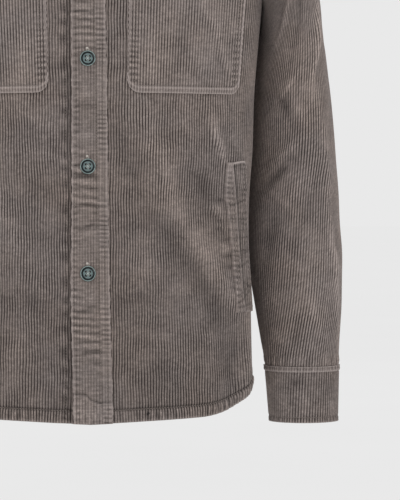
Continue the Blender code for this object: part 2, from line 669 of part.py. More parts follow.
def make_collar():
    rows, outward = stand_rows()
    places = leaf_places(rows[-1])
    counted = range(len(outward))
    top = np.stack([np.interp(places, counted, side) for side in rows[-1].T], axis=1)
    outward = np.stack([np.interp(places, counted, side) for side in outward.T], axis=1)
    lengths = np.concatenate([[0.0], np.cumsum(np.linalg.norm(np.diff(top, axis=0), axis=1))])
    share = lengths / lengths[-1]
    edge = collar_edge(share)
    up = np.array([0.0, 0.0, 1.0])
    roll_centre = top + outward * COLLAR_ROLL + up * DOUBLED
    sections = [top + up * (DOUBLED / 4)]
    for degrees in (180, 120, 60, 0):
        turn = math.radians(degrees)
        sections.append(roll_centre + outward * COLLAR_ROLL * math.cos(turn) + up * COLLAR_ROLL * math.sin(turn))
    start = sections[-1]
    for part in (0.5, 1.0):
        bulge = COLLAR_BULGE * math.sin(math.pi * part)
        sections.append(start + (edge - start) * part + (outward + up) * bulge)
    grid = np.array(sections)
    down, onward = np.gradient(grid, axis=0), np.gradient(grid, axis=1)
    normals = unit(np.cross(down, onward))
    normals[0] = -outward
    half = DOUBLED / 2
    faces = [tuple(reversed(quad)) for quad in grid_faces(*grid.shape[:2])]
    wall("collar", grid, normals, faces, half, half, "corduroy_trim")


def button(name, centre, axis, radius, mirrored=False):
    """A flat round button with a raised rim, lying with its back on centre."""
    axis = unit(np.asarray(axis))
    side = unit(np.cross(axis, np.array([0.0, 0.0, 1.0])))
    other = np.cross(axis, side)
    turns = np.arange(BUTTON_SIDES) / BUTTON_SIDES * 2 * math.pi
    rings = []
    for share, height in BUTTON_PROFILE:
        circle = side * np.cos(turns)[:, None] + other * np.sin(turns)[:, None]
        rings.append(centre + axis * height + circle * radius * share)
    points = np.array(rings)
    faces = grid_faces(len(rings), BUTTON_SIDES, closed=True)
    last = (len(rings) - 1) * BUTTON_SIDES
    faces.append(tuple(reversed(range(BUTTON_SIDES))))
    faces.append(tuple(last + i for i in range(BUTTON_SIDES)))
    add_piece(name, points.reshape(-1, 3), faces, "button", 35, mirrored)


def make_buttons():
    out = CLOTH / 2 + LAID + DOUBLED + SEAM
    for i in range(4):
        z = LOWEST_BUTTON + BUTTON_SPACING * i
        centre = body(0.0, z, False, out)
        button(f"button_{i + 1}", centre, body_normal(0.0, z, False), BUTTON_RADIUS)
    rows, outward = stand_rows()
    middle, axis = rows[1][1], outward[1]  # the stand's second column is beside the centre front
    button("button_5", middle + axis * (DOUBLED / 2 + SEAM), axis, BUTTON_RADIUS)
    centre, axis = sleeve(CUFF_ROW + 0.5, math.radians(CUFF_BUTTON_TURN))
    centre = centre + axis * (CUFF_PROUD + SEAM)
    button("cuff_button_left", centre, axis, CUFF_BUTTON_RADIUS)
    button("cuff_button_right", centre, axis, CUFF_BUTTON_RADIUS, mirrored=True)


def clear_scene():
    for old in list(bpy.data.objects):
        bpy.data.objects.remove(old)


def main():
    clear_scene()
    make_body()
    make_placket()
    make_chest_pockets()
    make_welts()
    make_sleeves()
    make_collar_stand()
    make_collar()
    make_buttons()


main()
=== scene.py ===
# Corduroy shirt jacket: the cloth, buttons and thread that show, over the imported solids.
# Metres, with the front facing -Y. A place on the body is u, the distance round from the centre
# front or the centre back, and its height. The wearer's right is made as the left and mirrored.
import json
import math

import bmesh
import bpy
import numpy as np
from mathutils import Matrix, Vector

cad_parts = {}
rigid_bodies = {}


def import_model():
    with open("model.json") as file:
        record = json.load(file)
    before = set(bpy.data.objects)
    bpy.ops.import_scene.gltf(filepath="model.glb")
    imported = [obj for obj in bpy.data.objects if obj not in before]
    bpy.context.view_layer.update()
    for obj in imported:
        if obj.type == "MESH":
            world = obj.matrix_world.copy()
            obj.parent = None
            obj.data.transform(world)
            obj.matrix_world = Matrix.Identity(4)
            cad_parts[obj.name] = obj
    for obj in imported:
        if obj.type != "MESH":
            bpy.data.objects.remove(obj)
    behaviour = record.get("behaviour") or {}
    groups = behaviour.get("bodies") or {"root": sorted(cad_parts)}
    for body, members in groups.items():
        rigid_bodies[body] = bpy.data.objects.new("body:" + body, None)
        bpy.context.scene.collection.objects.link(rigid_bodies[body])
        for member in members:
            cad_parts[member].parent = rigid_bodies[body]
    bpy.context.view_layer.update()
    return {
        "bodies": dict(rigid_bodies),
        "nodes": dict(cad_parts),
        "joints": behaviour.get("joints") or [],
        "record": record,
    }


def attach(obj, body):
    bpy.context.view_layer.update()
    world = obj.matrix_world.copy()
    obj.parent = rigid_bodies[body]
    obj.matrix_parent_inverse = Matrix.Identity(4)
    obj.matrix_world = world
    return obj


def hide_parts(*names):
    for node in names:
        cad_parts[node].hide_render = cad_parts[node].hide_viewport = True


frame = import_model()
print("frame loaded")

fabric = {
    "thick": 0.0018,  # one layer of corduroy
    "doubled": 0.0026,
    "seam": 0.0003,
    "laid": 0.0004,
    "tuck": 0.0026,  # how far the right front steps back under the left
    "wale": 0.003175,  # eight to the inch
    "columnsPerWale": 3,
    # how the wales are drawn wider: from this far round, by how much, and over what distance
    "widenFrom": 0.150,
    "widenBy": 0.42,
    "widenOver": 0.06,
    "ridge": 0.00045,  # a wale's height from its middle
}

bodyForm = {
    "columns": ("height", "halfWidth", "frontDepth", "backDepth"),
    "sections": (
        (-0.770, 0.1910, 0.1170, 0.1180),
        (-0.700, 0.1878, 0.1165, 0.1170),
        (-0.655, 0.1864, 0.1155, 0.1150),
        (-0.610, 0.1856, 0.1150, 0.1140),
        (-0.545, 0.1834, 0.1140, 0.1120),
        (-0.487, 0.1838, 0.1140, 0.1120),
        (-0.440, 0.1872, 0.1160, 0.1140),
        (-0.368, 0.1897, 0.1180, 0.1170),
        (-0.320, 0.1936, 0.1190, 0.1200),
        (-0.264, 0.1985, 0.1190, 0.1220),
        (-0.200, 0.2035, 0.1120, 0.1220),
        (-0.150, 0.2090, 0.1010, 0.1190),
        (-0.100, 0.2155, 0.0850, 0.1120),
        (-0.050, 0.2230, 0.0740, 0.1000),
        (0.000, 0.2300, 0.0660, 0.0800),
        (0.040, 0.2350, 0.0620, 0.0700),
    ),
    "roundness": 2.5,  # 2 is an ellipse, and more is squarer
    "halfWidth": 0.188,
    "depth": 0.116,
    # each soft fold: where it is, its turn from upright in degrees, how long, how wide and how high
    "foldColumns": ("u", "height", "turn", "length", "width", "rise"),
    "frontFolds": (
        (0.080, -0.520, 4, 0.150, 0.022, 0.0030),
        (0.118, -0.560, -5, 0.120, 0.020, -0.0022),
        (0.155, -0.600, -6, 0.110, 0.020, 0.0028),
        (0.150, -0.420, -16, 0.045, 0.010, 0.0022),
        (0.205, -0.690, -8, 0.060, 0.018, 0.0030),
        (0.050, -0.660, 6, 0.080, 0.018, -0.0018),
    ),
    "backFolds": (
        (0.060, -0.560, 3, 0.160, 0.026, 0.0032),
        (0.110, -0.500, -4, 0.140, 0.024, -0.0028),
        (0.150, -0.600, -5, 0.110, 0.022, 0.0030),
        (0.000, -0.640, 0, 0.120, 0.024, -0.0026),
        (0.120, -0.250, 30, 0.060, 0.018, 0.0030),
    ),
}

shoulderForm = {"slope": 0.35, "reach": 0.223, "neckRound": 0.100, "tipRound": 0.045}
neckForm = {"reach": 0.0615, "curve": 2.2, "frontDrop": 0.095, "backDrop": 0.006}
armholeForm = {
    "inmost": 0.1875,
    "tip": 0.2095,
    "curve": 1.6,
    "mid": -0.170,
    "underarm": -0.262,
    "blend": -0.300,
    "upperSteps": 5,
    "lowerSteps": 6,
}
hemForm = {"height": -0.740, "blend": -0.620, "tailRise": 0.027, "tailReach": 0.124, "slant": 0.0125}
placketForm = {
    "left": -0.018,
    "right": 0.023,
    "short": 0.0016,
    "underlap": 0.014,
    "lapEnd": 0.036,
    "lapEase": 0.014,
}
mirrorAcross = np.array([-1.0, 1.0, 1.0])

sleeveForm = {
    # the left sleeve from its armhole (row 0) to the cuff seam (row 10) and the cuff's edge (row 11)
    "columns": ("row", "outerX", "outerZ", "innerX", "innerZ", "halfDepth", "centreY", "lean"),
    "sections": (
        (0, 0.2155, -0.0500, 0.1985, -0.2620, 0.0560, 0.0000, 0.00),
        (1, 0.2365, -0.0950, 0.2010, -0.2760, 0.0650, 0.0080, 0.06),
        (2, 0.2480, -0.1600, 0.2000, -0.2950, 0.0725, 0.0200, 0.14),
        (3, 0.2585, -0.2450, 0.1950, -0.3250, 0.0765, 0.0340, 0.20),
        (4, 0.2720, -0.3300, 0.1900, -0.3750, 0.0745, 0.0460, 0.20),
        (5, 0.2825, -0.4150, 0.1870, -0.4400, 0.0695, 0.0520, 0.18),
        (6, 0.2890, -0.4930, 0.1850, -0.5050, 0.0630, 0.0530, 0.12),
        (7, 0.2932, -0.5510, 0.1865, -0.5560, 0.0575, 0.0500, 0.08),
        (8, 0.2938, -0.6090, 0.1945, -0.6090, 0.0515, 0.0450, 0.04),
        (9, 0.2912, -0.6550, 0.2020, -0.6550, 0.0460, 0.0420, 0.00),
        (10, 0.2900, -0.6840, 0.2068, -0.6840, 0.0425, 0.0400, 0.00),
        (11, 0.2888, -0.7490, 0.2125, -0.7490, 0.0395, 0.0400, 0.00),
    ),
    "cuffRow": 10,
    "cuffEdgeRow": 11,
    "fadeRow": 3,
    "clear": 0.0032,
    "ease": 0.8,
    # here u is degrees round from the outer edge, and height is the row
    "foldColumns": ("around", "row", "slant", "width", "length", "rise"),
    "folds": (
        (70, 3.6, 10, 0.32, 45, 0.0030),
        (95, 4.5, 14, 0.34, 50, -0.0030),
        (60, 5.3, -12, 0.34, 45, 0.0028),
        (110, 6.2, 12, 0.36, 40, -0.0026),
        (45, 7.4, 9, 0.40, 40, 0.0020),
        (-80, 4.2, -12, 0.36, 50, 0.0032),
        (-100, 5.4, 12, 0.36, 50, -0.0032),
        (-70, 6.6, -10, 0.38, 45, 0.0026),
    ),
}

standForm = {
    "height": 0.033,
    "fall": 0.004,
    "lean": 0.004,
    "lap": 0.0019,
    "clear": 0.0006,
    "neckColumns": (0.0435, 0.0525, 0.0573, 0.0602, 0.0615),
    "leftColumns": (-0.018, -0.007, 0.004, 0.0135, 0.023, 0.033),
    "rightColumns": (-0.014, 0.0, 0.012, 0.022, 0.029, 0.036),
}
collarForm = {
    "roll": 0.0036,
    "proud": 0.0060,
    "bulge": 0.004,
    # the outer edge over the body, from the left point (0) to the centre back (0.5)
    "edgeColumns": ("share", "onBack", "u", "height"),
    "edge": (
        (0.00, False, 0.046, -0.132),
        (0.10, False, 0.070, -0.098),
        (0.18, False, 0.087, -0.056),
        (0.225, False, 0.0945, -0.032),
        (0.27, False, 0.097, -0.0145),
        (0.315, True, 0.093, -0.023),
        (0.36, True, 0.081, -0.032),
        (0.43, True, 0.048, -0.036),
        (0.50, True, 0.000, -0.036),
    ),
}


def smoothStep(value):
    held = np.clip(value, 0.0, 1.0)
    return held * held * (3.0 - 2.0 * held)


# A column of a table as a smooth curve over its first column.
def lookedUp(table, columns, name, at):
    rows = np.asarray(table, float)
    places, values = rows[:, 0], rows[:, columns.index(name)]
    slopes = np.gradient(values, places)
    at = np.clip(at, places[0], places[-1])
    i = np.clip(np.searchsorted(places, at, side="right") - 1, 0, len(places) - 2)
    width = places[i + 1] - places[i]
    s = (at - places[i]) / width
    start = (2 * s**3 - 3 * s**2 + 1) * values[i] + (s**3 - 2 * s**2 + s) * width * slopes[i]
    end = (3 * s**2 - 2 * s**3) * values[i + 1] + (s**3 - s**2) * width * slopes[i + 1]
    return start + end


def bodyColumn(name, z):
    return lookedUp(bodyForm["sections"], bodyForm["columns"], name, z)


# A quarter of the body's section, with the distance along it
quarterTurns = np.linspace(0.0, math.pi / 2, 1441)
quarterAcross = np.sin(quarterTurns) ** (2 / bodyForm["roundness"])
quarterDeep = np.cos(quarterTurns) ** (2 / bodyForm["roundness"])
quarterSteps = np.hypot(
    bodyForm["halfWidth"] * np.diff(quarterAcross), bodyForm["depth"] * np.diff(quarterDeep)
)
quarterAlong = np.concatenate([[0.0], np.cumsum(quarterSteps)])
halfGirth = float(quarterAlong[-1])
sideEdge = halfGirth - fabric["seam"] / 2  # a panel ends half a seam short of the side


def shareAcross(u):
    return np.interp(np.abs(u), quarterAlong, quarterAcross)


def shareDeep(u):
    return np.interp(np.abs(u), quarterAlong, quarterDeep)


def shoulderHeight(u):
    return -shoulderForm["slope"] * shoulderForm["reach"] * (shareAcross(u) - shareAcross(neckForm["reach"]))


def shoulderRound(u):
    atNeck, atTip = shoulderForm["neckRound"], shoulderForm["tipRound"]
    return atNeck + (atTip - atNeck) * smoothStep(np.abs(u) / armholeForm["tip"])


# How far over the shoulder a height lies: 0 on the shoulder seam, and a right angle where it ends.
def turnAt(u, z):
    below = (shoulderHeight(u) - z) / shoulderRound(u)
    return np.where(below < 1, np.arccos(np.clip(1 - below, 0.0, 1.0)), math.pi / 2 + below - 1)


# The body's surface before its folds, by how far over the shoulder it lies.
def bareBody(u, turn, back):
    rounded = np.clip(turn, None, math.pi / 2)
    z = shoulderHeight(u) - shoulderRound(u) * (1 - np.cos(rounded) + turn - rounded)
    depth = bodyColumn("backDepth" if back else "frontDepth", z)
    x = np.where(u < 0, -1.0, 1.0) * bodyColumn("halfWidth", z) * shareAcross(u)
    y = (1.0 if back else -1.0) * depth * shareDeep(u) * np.sin(rounded)
    return np.stack([x, y, z], axis=-1)


def unit(vectors):
    return vectors / np.linalg.norm(vectors, axis=-1, keepdims=True)


def bodyNormal(u, z, back, nudge=0.0004):
    u, z = np.broadcast_arrays(np.asarray(u, float), np.asarray(z, float))
    turn = turnAt(u, z)
    across = bareBody(u + nudge, turn, back) - bareBody(u - nudge, turn, back)
    down = bareBody(u, turn + 5 * nudge, back) - bareBody(u, turn - 5 * nudge, back)
    return unit(np.cross(down, across)) * (-1.0 if back else 1.0)


# How far the soft folds stand out. They die away at the side seam, the shoulders and the armholes.
def bodyFold(u, z, back):
    total = np.zeros(np.broadcast(u, z).shape)
    for row in bodyForm["backFolds"] if back else bodyForm["frontFolds"]:
        fold = dict(zip(bodyForm["foldColumns"], row))
        turn = math.radians(fold["turn"])
        du, dz = np.abs(u) - fold["u"], z - fold["height"]
        across = du * math.cos(turn) + dz * math.sin(turn)
        along = dz * math.cos(turn) - du * math.sin(turn)
        share = np.exp(-((across / fold["width"]) ** 2) - (along / fold["length"]) ** 2)
        total = total + fold["rise"] * share
    atSeam = smoothStep((halfGirth - np.abs(u)) / 0.030)
    atTop = smoothStep((armholeForm["mid"] - 0.02 - z) / 0.05)
    return total * atSeam * atTop


# A point on the cloth, out metres proud of it.
def body(u, z, back=False, out=0.0):
    u, z = np.broadcast_arrays(np.asarray(u, float), np.asarray(z, float))
    stand = bodyFold(u, z, back) + out
    return bareBody(u, turnAt(u, z), back) + bodyNormal(u, z, back) * np.asarray(stand)[..., None]


def hemRise(u):
    fromSeam = halfGirth - np.abs(u)
    tail = hemForm["tailRise"] / 2 * (1 + np.cos(np.pi * np.clip(fromSeam / hemForm["tailReach"], 0.0, 1.0)))
    return tail + hemForm["slant"] * (1 - fromSeam / halfGirth)


def neckHeight(u, back):
    drop = neckForm["backDrop"] if back else neckForm["frontDrop"]
    return -drop * (1 - np.clip(np.abs(u) / neckForm["reach"], 0.0, 1.0) ** neckForm["curve"])


def tipHeight():
    return float(shoulderHeight(armholeForm["tip"]))


# (u, height) on the armhole, from the shoulder tip (0) by its inmost point to the underarm (1).
def armhole(share):
    share = np.asarray(share, float)
    turnShare = armholeForm["upperSteps"] / (armholeForm["upperSteps"] + armholeForm["lowerSteps"])
    up = np.clip(1 - share / turnShare, 0.0, 1.0)
    down = np.clip((share - turnShare) / (1 - turnShare), 0.0, 1.0) * math.pi / 2
    inmost, mid = armholeForm["inmost"], armholeForm["mid"]
    u = inmost + (armholeForm["tip"] - inmost) * up ** armholeForm["curve"]
    u = u + (sideEdge - inmost) * (1 - np.cos(down))
    z = mid + (tipHeight() - mid) * up + (armholeForm["underarm"] - mid) * np.sin(down)
    return u, z


# Where a row of the cloth below the armholes' inmost points lies.
def lowerHeight(u, level):
    u = np.abs(u)
    inmost, mid, blend = armholeForm["inmost"], armholeForm["mid"], armholeForm["blend"]
    turned = np.clip((u - inmost) / (sideEdge - inmost), 0.0, 1.0)
    top = mid + (armholeForm["underarm"] - mid) * np.sqrt(np.clip(1 - (1 - turned) ** 2, 0.0, 1.0))
    nearHem = np.clip((hemForm["blend"] - level) / (hemForm["blend"] - hemForm["height"]), 0.0, 1.0)
    nearArm = blend + (level - blend) * (top - blend) / (mid - blend)
    return np.where(level > blend, nearArm, level + hemRise(u) * nearHem)


# Where a row above them lies, from there (0) to the neck or the shoulder seam (1).
def upperHeight(u, share, back):
    shoulder = shoulderHeight(u)
    inmost, mid = armholeForm["inmost"], armholeForm["mid"]
    up = np.clip((np.abs(u) - inmost) / (armholeForm["tip"] - inmost), 0.0, 1.0) ** (1 / armholeForm["curve"])
    bottom = mid + (tipHeight() - mid) * up
    start = turnAt(u, bottom)
    atNeck = turnAt(u, neckHeight(u, back))
    halfSeam = fabric["seam"] / 2 / (0.07 * shareDeep(u))
    end = np.where(np.abs(u) < neckForm["reach"], np.maximum(atNeck, halfSeam), halfSeam)
    start = np.maximum(start, end)
    return bareBody(u, start + (end - start) * share, back)[..., 2]


# 1 where one front lies over the other, falling to 0 beside it.
def lapShare(u):
    return smoothStep((placketForm["lapEnd"] - u) / placketForm["lapEase"])


# The body's half width at this depth, or nothing past its front and back.
def halfWidthAt(y, z):
    roundness = bodyForm["roundness"]
    depth = np.where(y < 0, bodyColumn("frontDepth", z), bodyColumn("backDepth", z))
    share = np.clip(np.abs(y) / depth, 0.0, 1.0)
    return bodyColumn("halfWidth", z) * (1 - share**roundness) ** (1 / roundness)


# The sleeve's section at a row: an oval hung between its outer and its inner edge.
def sleeveOval(row, around):
    sections, columns = sleeveForm["sections"], sleeveForm["columns"]
    c = {name: lookedUp(sections, columns, name, row) for name in columns[1:]}
    away = np.cos(around)
    y = c["centreY"] - c["halfDepth"] * np.sin(around)
    x = (c["outerX"] + c["innerX"]) / 2 + (c["outerX"] - c["innerX"]) / 2 * away
    z = (c["outerZ"] + c["innerZ"]) / 2 + (c["outerZ"] - c["innerZ"]) / 2 * away
    return np.stack([x - c["lean"] * (y - c["centreY"]), y, z], axis=-1)


# The armhole at an angle round the sleeve: 0 is the shoulder tip, and the front comes first.
def armholePoint(around):
    around = np.mod(around, 2 * math.pi)
    front = around <= math.pi
    share = np.where(front, around, 2 * math.pi - around) / math.pi
    u, z = armhole(share)
    point = np.where(front[..., None], body(u, z, False), body(u, z, True))
    normal = np.where(front[..., None], bodyNormal(u, z, False), bodyNormal(u, z, True))
    return point, normal


# How far the sleeve's first ring stands off the panels' edge, so that the two walls only meet.
def armholeOffset(around):
    point, normal = armholePoint(around)
    before, after = armholePoint(around - 0.02)[0], armholePoint(around + 0.02)[0]
    offEdge = unit(np.cross(unit(after - before), normal))
    offEdge = offEdge * np.where(offEdge[..., :1] < 0, -1.0, 1.0)
    upThere = np.cos(around)[..., None] < -0.97
    offEdge = np.where(upThere, np.array([0.0, 0.0, 1.0]), offEdge)
    onward = unit(sleeveOval(np.full_like(around, 1.0), around) - point)
    bend = np.arccos(np.clip(np.sum(offEdge * onward, axis=-1), -1.0, 1.0))
    half = fabric["thick"] / 2
    past = half * np.sin(bend) + fabric["seam"]
    steep = np.clip((bend - math.radians(60)) / math.radians(30), 0, 1)
    beside = (half * (1 - np.cos(bend)) + fabric["seam"]) * steep
    return offEdge * past[..., None] + normal * beside[..., None]


def sleeveFold(row, around):
    total = np.zeros(np.broadcast(row, around).shape)
    degrees = np.mod(np.degrees(around) + 180, 360) - 180
    for values in sleeveForm["folds"]:
        fold = dict(zip(sleeveForm["foldColumns"], values))
        apart = degrees - fold["around"]
        level = row - fold["row"] - apart / 90 * fold["slant"] / 10
        total = total + fold["rise"] * np.exp(-((level / fold["width"]) ** 2) - (apart / fold["length"]) ** 2)
    return total * smoothStep((row - 1.0) / 1.5) * smoothStep((9.4 - row) / 1.2)


# The left sleeve's surface before its folds, just clear of the body.
def bareSleeve(row, around):
    row, around = np.broadcast_arrays(np.asarray(row, float), np.asarray(around, float))
    start = armholePoint(around)[0]
    memory = np.clip(1 - row / sleeveForm["fadeRow"], 0.0, 1.0) ** 2
    point = sleeveOval(row, around) + memory[..., None] * (start - sleeveOval(np.zeros_like(row), around))
    point = point + armholeOffset(around) * np.clip(1 - row / sleeveForm["ease"], 0.0, 1.0)[..., None]
    bodySide = halfWidthAt(point[..., 1], point[..., 2]) + sleeveForm["clear"]
    softness = 0.003
    pushed = (point[..., 0] + bodySide + np.sqrt((point[..., 0] - bodySide) ** 2 + softness**2)) / 2
    share = smoothStep(row / sleeveForm["ease"])
    x = point[..., 0] * (1 - share) + pushed * share
    return np.stack([x, point[..., 1], point[..., 2]], axis=-1)


def sleeve(row, around):
    row, around = np.broadcast_arrays(np.asarray(row, float), np.asarray(around, float))
    nudge = 0.01
    above, below = np.maximum(row - nudge, 0), np.minimum(row + nudge, sleeveForm["cuffEdgeRow"])
    down = bareSleeve(below, around) - bareSleeve(above, around)
    onward = bareSleeve(row, around + nudge) - bareSleeve(row, around - nudge)
    normal = unit(np.cross(onward, down))
    return bareSleeve(row, around) + normal * sleeveFold(row, around)[..., None], normal


# The neck edge from the left front's end round the back to the right front's, with the way out of
# the cloth there and how far the stand steps out
def neckline():
    left = standForm["leftColumns"] + standForm["neckColumns"]
    back = (0.0525, 0.036, 0.018, 0.0, -0.018, -0.036, -0.0525)
    right = reversed(standForm["rightColumns"] + standForm["neckColumns"])
    over = standForm["lap"]
    points, normals, laps = [], [], []
    stretches = (left, False, 1.0, over), (back, True, 1.0, 0.0), (right, False, mirrorAcross, -over)
    for places, isBack, turned, lap in stretches:
        for u in places:
            z = neckHeight(u, isBack)
            points.append(body(u, z, isBack) * turned)
            normals.append(bodyNormal(u, z, isBack) * turned)
            laps.append(lap * lapShare(u))
    return np.array(points), np.array(normals), np.array(laps)


# The stand's rows, and the way out of it. Its left end laps over its right end.
def standRows():
    edge, normal, lap = neckline()
    along = np.gradient(edge, axis=0)
    along[0], along[-1] = np.array([1.0, 0.0, 0.0]), np.array([1.0, 0.0, 0.0])
    up = np.array([0.0, 0.0, 1.0])
    outward = unit(np.cross(along, up))
    acrossEdge = unit(np.cross(outward, along))
    beneath = fabric["thick"] / 2 * np.abs(np.sum(acrossEdge * normal, axis=1))
    lift = (standForm["clear"] + beneath) / np.abs(acrossEdge[:, 2])
    foot = edge + outward * lap[:, None] + up * lift[:, None]
    height = standForm["height"] - standForm["fall"] * np.clip(-edge[:, 2:] / neckForm["frontDrop"], 0.0, 1.0)
    rows = [foot + (up * height - outward * standForm["lean"]) * share for share in (0.0, 0.5, 1.0)]
    return np.array(rows), unit(outward + up * standForm["lean"] / standForm["height"])


# The collar's outer edge, a little proud of the body. Past the centre back it is mirrored.
def collarEdge(share):
    rows = [dict(zip(collarForm["edgeColumns"], row)) for row in collarForm["edge"]]
    places = [row["share"] for row in rows]
    points = [body(row["u"], row["height"], row["onBack"], collarForm["proud"]) for row in rows]
    places += [1 - place for place in reversed(places[:-1])]
    points += [point * mirrorAcross for point in reversed(points[:-1])]
    columns = ("share", "x", "y", "z")
    table = [(place, *point) for place, point in zip(places, points)]
    return np.stack([lookedUp(table, columns, name, share) for name in columns[1:]], axis=-1)


def between(first, last, step):
    return np.linspace(first, last, max(int(round(abs(last - first) / step)), 1) + 1)


# Wales from the middle to a place on the body. Towards the sides they are drawn up to half as wide
# again, because at their real width they would be too fine to show where the body turns away
def walesTo(u):
    past = np.maximum(np.abs(u) - fabric["widenFrom"], 0.0)
    narrowed = fabric["widenBy"] * past**2 / (past + fabric["widenOver"])
    return np.sign(u) * (np.abs(u) - narrowed) / fabric["wale"]


# Columns that follow the wales, with the nearest one moved to each place that has to be kept
def waleColumns(first, last, *kept, onBody=False):
    step = fabric["wale"] / fabric["columnsPerWale"]
    if onBody:
        grid = np.linspace(first, last, 2001)
        low, high = (walesTo(place) * fabric["columnsPerWale"] for place in (first, last))
        counts = np.arange(math.ceil(low + 0.45), math.floor(high - 0.45) + 1)
        inside = np.interp(counts, walesTo(grid) * fabric["columnsPerWale"], grid)
    else:
        inside = np.arange(math.ceil(first / step + 0.45), math.floor(last / step - 0.45) + 1) * step
    places = np.concatenate([[first], inside, [last]])
    for place in kept:
        places[np.argmin(np.abs(places - place))] = place
    return places


def waleRidge(wales):
    apart = np.abs(wales - np.round(wales))
    return fabric["ridge"] * (1 - 2 * np.exp(-((apart / 0.17) ** 2)))


def bump(value, centre, width):
    return np.exp(-(((value - centre) / width) ** 2))


# A flat grid, one unit a column and a row
def addGrid(mesh, columns, rows, firstColumn=0.0, firstRow=0.0):
    place = Matrix.Translation((firstColumn, firstRow, 0)) @ Matrix.Diagonal((columns - 1, rows - 1, 1, 1))
    place = place @ Matrix.Translation((0.5, 0.5, 0))
    made = bmesh.ops.create_grid(mesh, x_segments=columns - 1, y_segments=rows - 1, size=0.5, matrix=place)
    return made["verts"]


def meshFrom(mesh, name):
    made = bpy.data.meshes.new(name)
    mesh.to_mesh(made)
    mesh.free()
    return made


def cornersOf(made):
    flat = np.empty(len(made.vertices) * 3)
    made.vertices.foreach_get("co", flat)
    return flat.reshape(-1, 3)


# Each builder gives a closed wall whose vertices are known by their column, row and side
def flatWall(name, columns, rows):
    mesh = bmesh.new()
    addGrid(mesh, columns, rows)
    bmesh.ops.solidify(mesh, geom=mesh.faces[:], thickness=0.4)
    made = meshFrom(mesh, name)
    flat = cornersOf(made)
    column, row = (np.rint(flat[:, i]).astype(int) for i in range(2))
    return made, column, row, flat[:, 2] > flat[:, 2].mean()


def tubeWall(name, columns, rows):
    mesh = bmesh.new()
    radius = columns / (2 * math.pi)
    for vertex in addGrid(mesh, columns + 1, rows):
        turn = vertex.co.x / radius
        vertex.co = (radius * math.cos(turn), radius * math.sin(turn), vertex.co.y)
    bmesh.ops.remove_doubles(mesh, verts=mesh.verts, dist=0.001)
    bmesh.ops.solidify(mesh, geom=mesh.faces[:], thickness=0.4)
    made = meshFrom(mesh, name)
    flat = cornersOf(made)
    column = np.rint(np.arctan2(flat[:, 1], flat[:, 0]) * radius).astype(int) % columns
    reach = np.hypot(flat[:, 0], flat[:, 1])
    return made, column, np.rint(flat[:, 2]).astype(int), reach > reach.mean()


# A panel is two grids, one above the other. They are one cloth between the armholes' inmost points
def panelWall(name, columns, rows, upperColumns, upperRows, joined):
    mesh = bmesh.new()
    addGrid(mesh, columns, rows)
    first, last = upperColumns
    for vertex in addGrid(mesh, last - first + 1, upperRows, first, rows - 1):
        if vertex.co.y < rows - 0.9 and not joined[0] - 0.1 < vertex.co.x < joined[1] + 0.1:
            vertex.co.y += 0.02
    bmesh.ops.remove_doubles(mesh, verts=mesh.verts, dist=0.001)
    bmesh.ops.solidify(mesh, geom=mesh.faces[:], thickness=0.4)
    made = meshFrom(mesh, name)
    flat = cornersOf(made)
    row = np.rint(flat[:, 1]).astype(int)
    row = np.where(flat[:, 1] > rows - 1 + 0.01, row + 1, row)
    return made, np.rint(flat[:, 0]).astype(int), row, flat[:, 2] > flat[:, 2].mean()


# What a piece of cloth is at each column and row
def clothForm(point, normal, wale, along, thickness, ridge=1.0, rise=0.0, wear=0.0, shade=0.0, napAndLight=0.0):
    spread = lambda value: np.broadcast_to(np.asarray(value, float), point.shape[:2])
    half = spread(thickness) / 2
    return {
        "point": point,
        "normal": normal,
        "outer": half + spread(ridge) * waleRidge(spread(wale)) + spread(rise),
        "inner": half - spread(rise),
        "wale": spread(wale),
        "along": spread(along),
        "wear": spread(wear),
        "shade": spread(shade),
        "napAndLight": spread(napAndLight),
    }


def facesOutwards(made):
    made.calc_loop_triangles()
    corners = np.empty(len(made.loop_triangles) * 3, dtype=np.int32)
    made.loop_triangles.foreach_get("vertices", corners)
    a, b, c = (cornersOf(made)[corners.reshape(-1, 3)[:, i]] for i in range(3))
    if np.sum(a * np.cross(b, c)) < 0:
        made.flip_normals()


def finishedPiece(made, name, material, nodes=(), sharp=50):
    made.shade_smooth()
    made.set_sharp_from_angle(angle=math.radians(sharp))
    made.materials.append(material)
    piece = bpy.data.objects.new(name, made)
    bpy.context.scene.collection.objects.link(piece)
    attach(piece, "root")
    if nodes:
        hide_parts(*nodes)
    return piece


# Lays a wall on its form, and keeps the wale, the metres along it, the wear, the painted shade, and the nap
# with its painted light and shade at each place
def clothPiece(name, wall, form, material, nodes=(), mirrored=False, closeSeam=False):
    made, column, row, outer = wall
    at = (row, column)
    out = np.where(outer, form["outer"][at], -form["inner"][at])
    places = form["point"][at] + form["normal"][at] * out[:, None]
    if mirrored:
        places = places * mirrorAcross
    made.vertices.foreach_set("co", places.ravel())
    marks = {mark: form[mark][at] for mark in ("wear", "shade", "napAndLight")}
    marks["lining"] = np.where(outer, 0.0, 1.0)
    for mark, values in marks.items():
        values = values.astype(np.float32)
        made.attributes.new(mark, "FLOAT", "POINT").data.foreach_set("value", values)
    loops = np.empty(len(made.loops), dtype=np.int32)
    made.loops.foreach_get("vertex_index", loops)
    pattern = np.stack([form["wale"][at], form["along"][at]], axis=1)[loops]
    made.uv_layers.new(name="cloth").data.foreach_set("uv", pattern.ravel().astype(np.float32))
    made.update()
    if closeSeam:
        mesh = bmesh.new()
        mesh.from_mesh(made)
        bmesh.ops.remove_doubles(mesh, verts=mesh.verts, dist=0.000002)
        mesh.to_mesh(made)
        mesh.free()
    facesOutwards(made)
    return finishedPiece(made, name, material, nodes)


def alongColumn(point):
    steps = np.linalg.norm(np.diff(point, axis=0), axis=2)
    return np.concatenate([np.zeros((1, point.shape[1])), np.cumsum(steps, axis=0)])


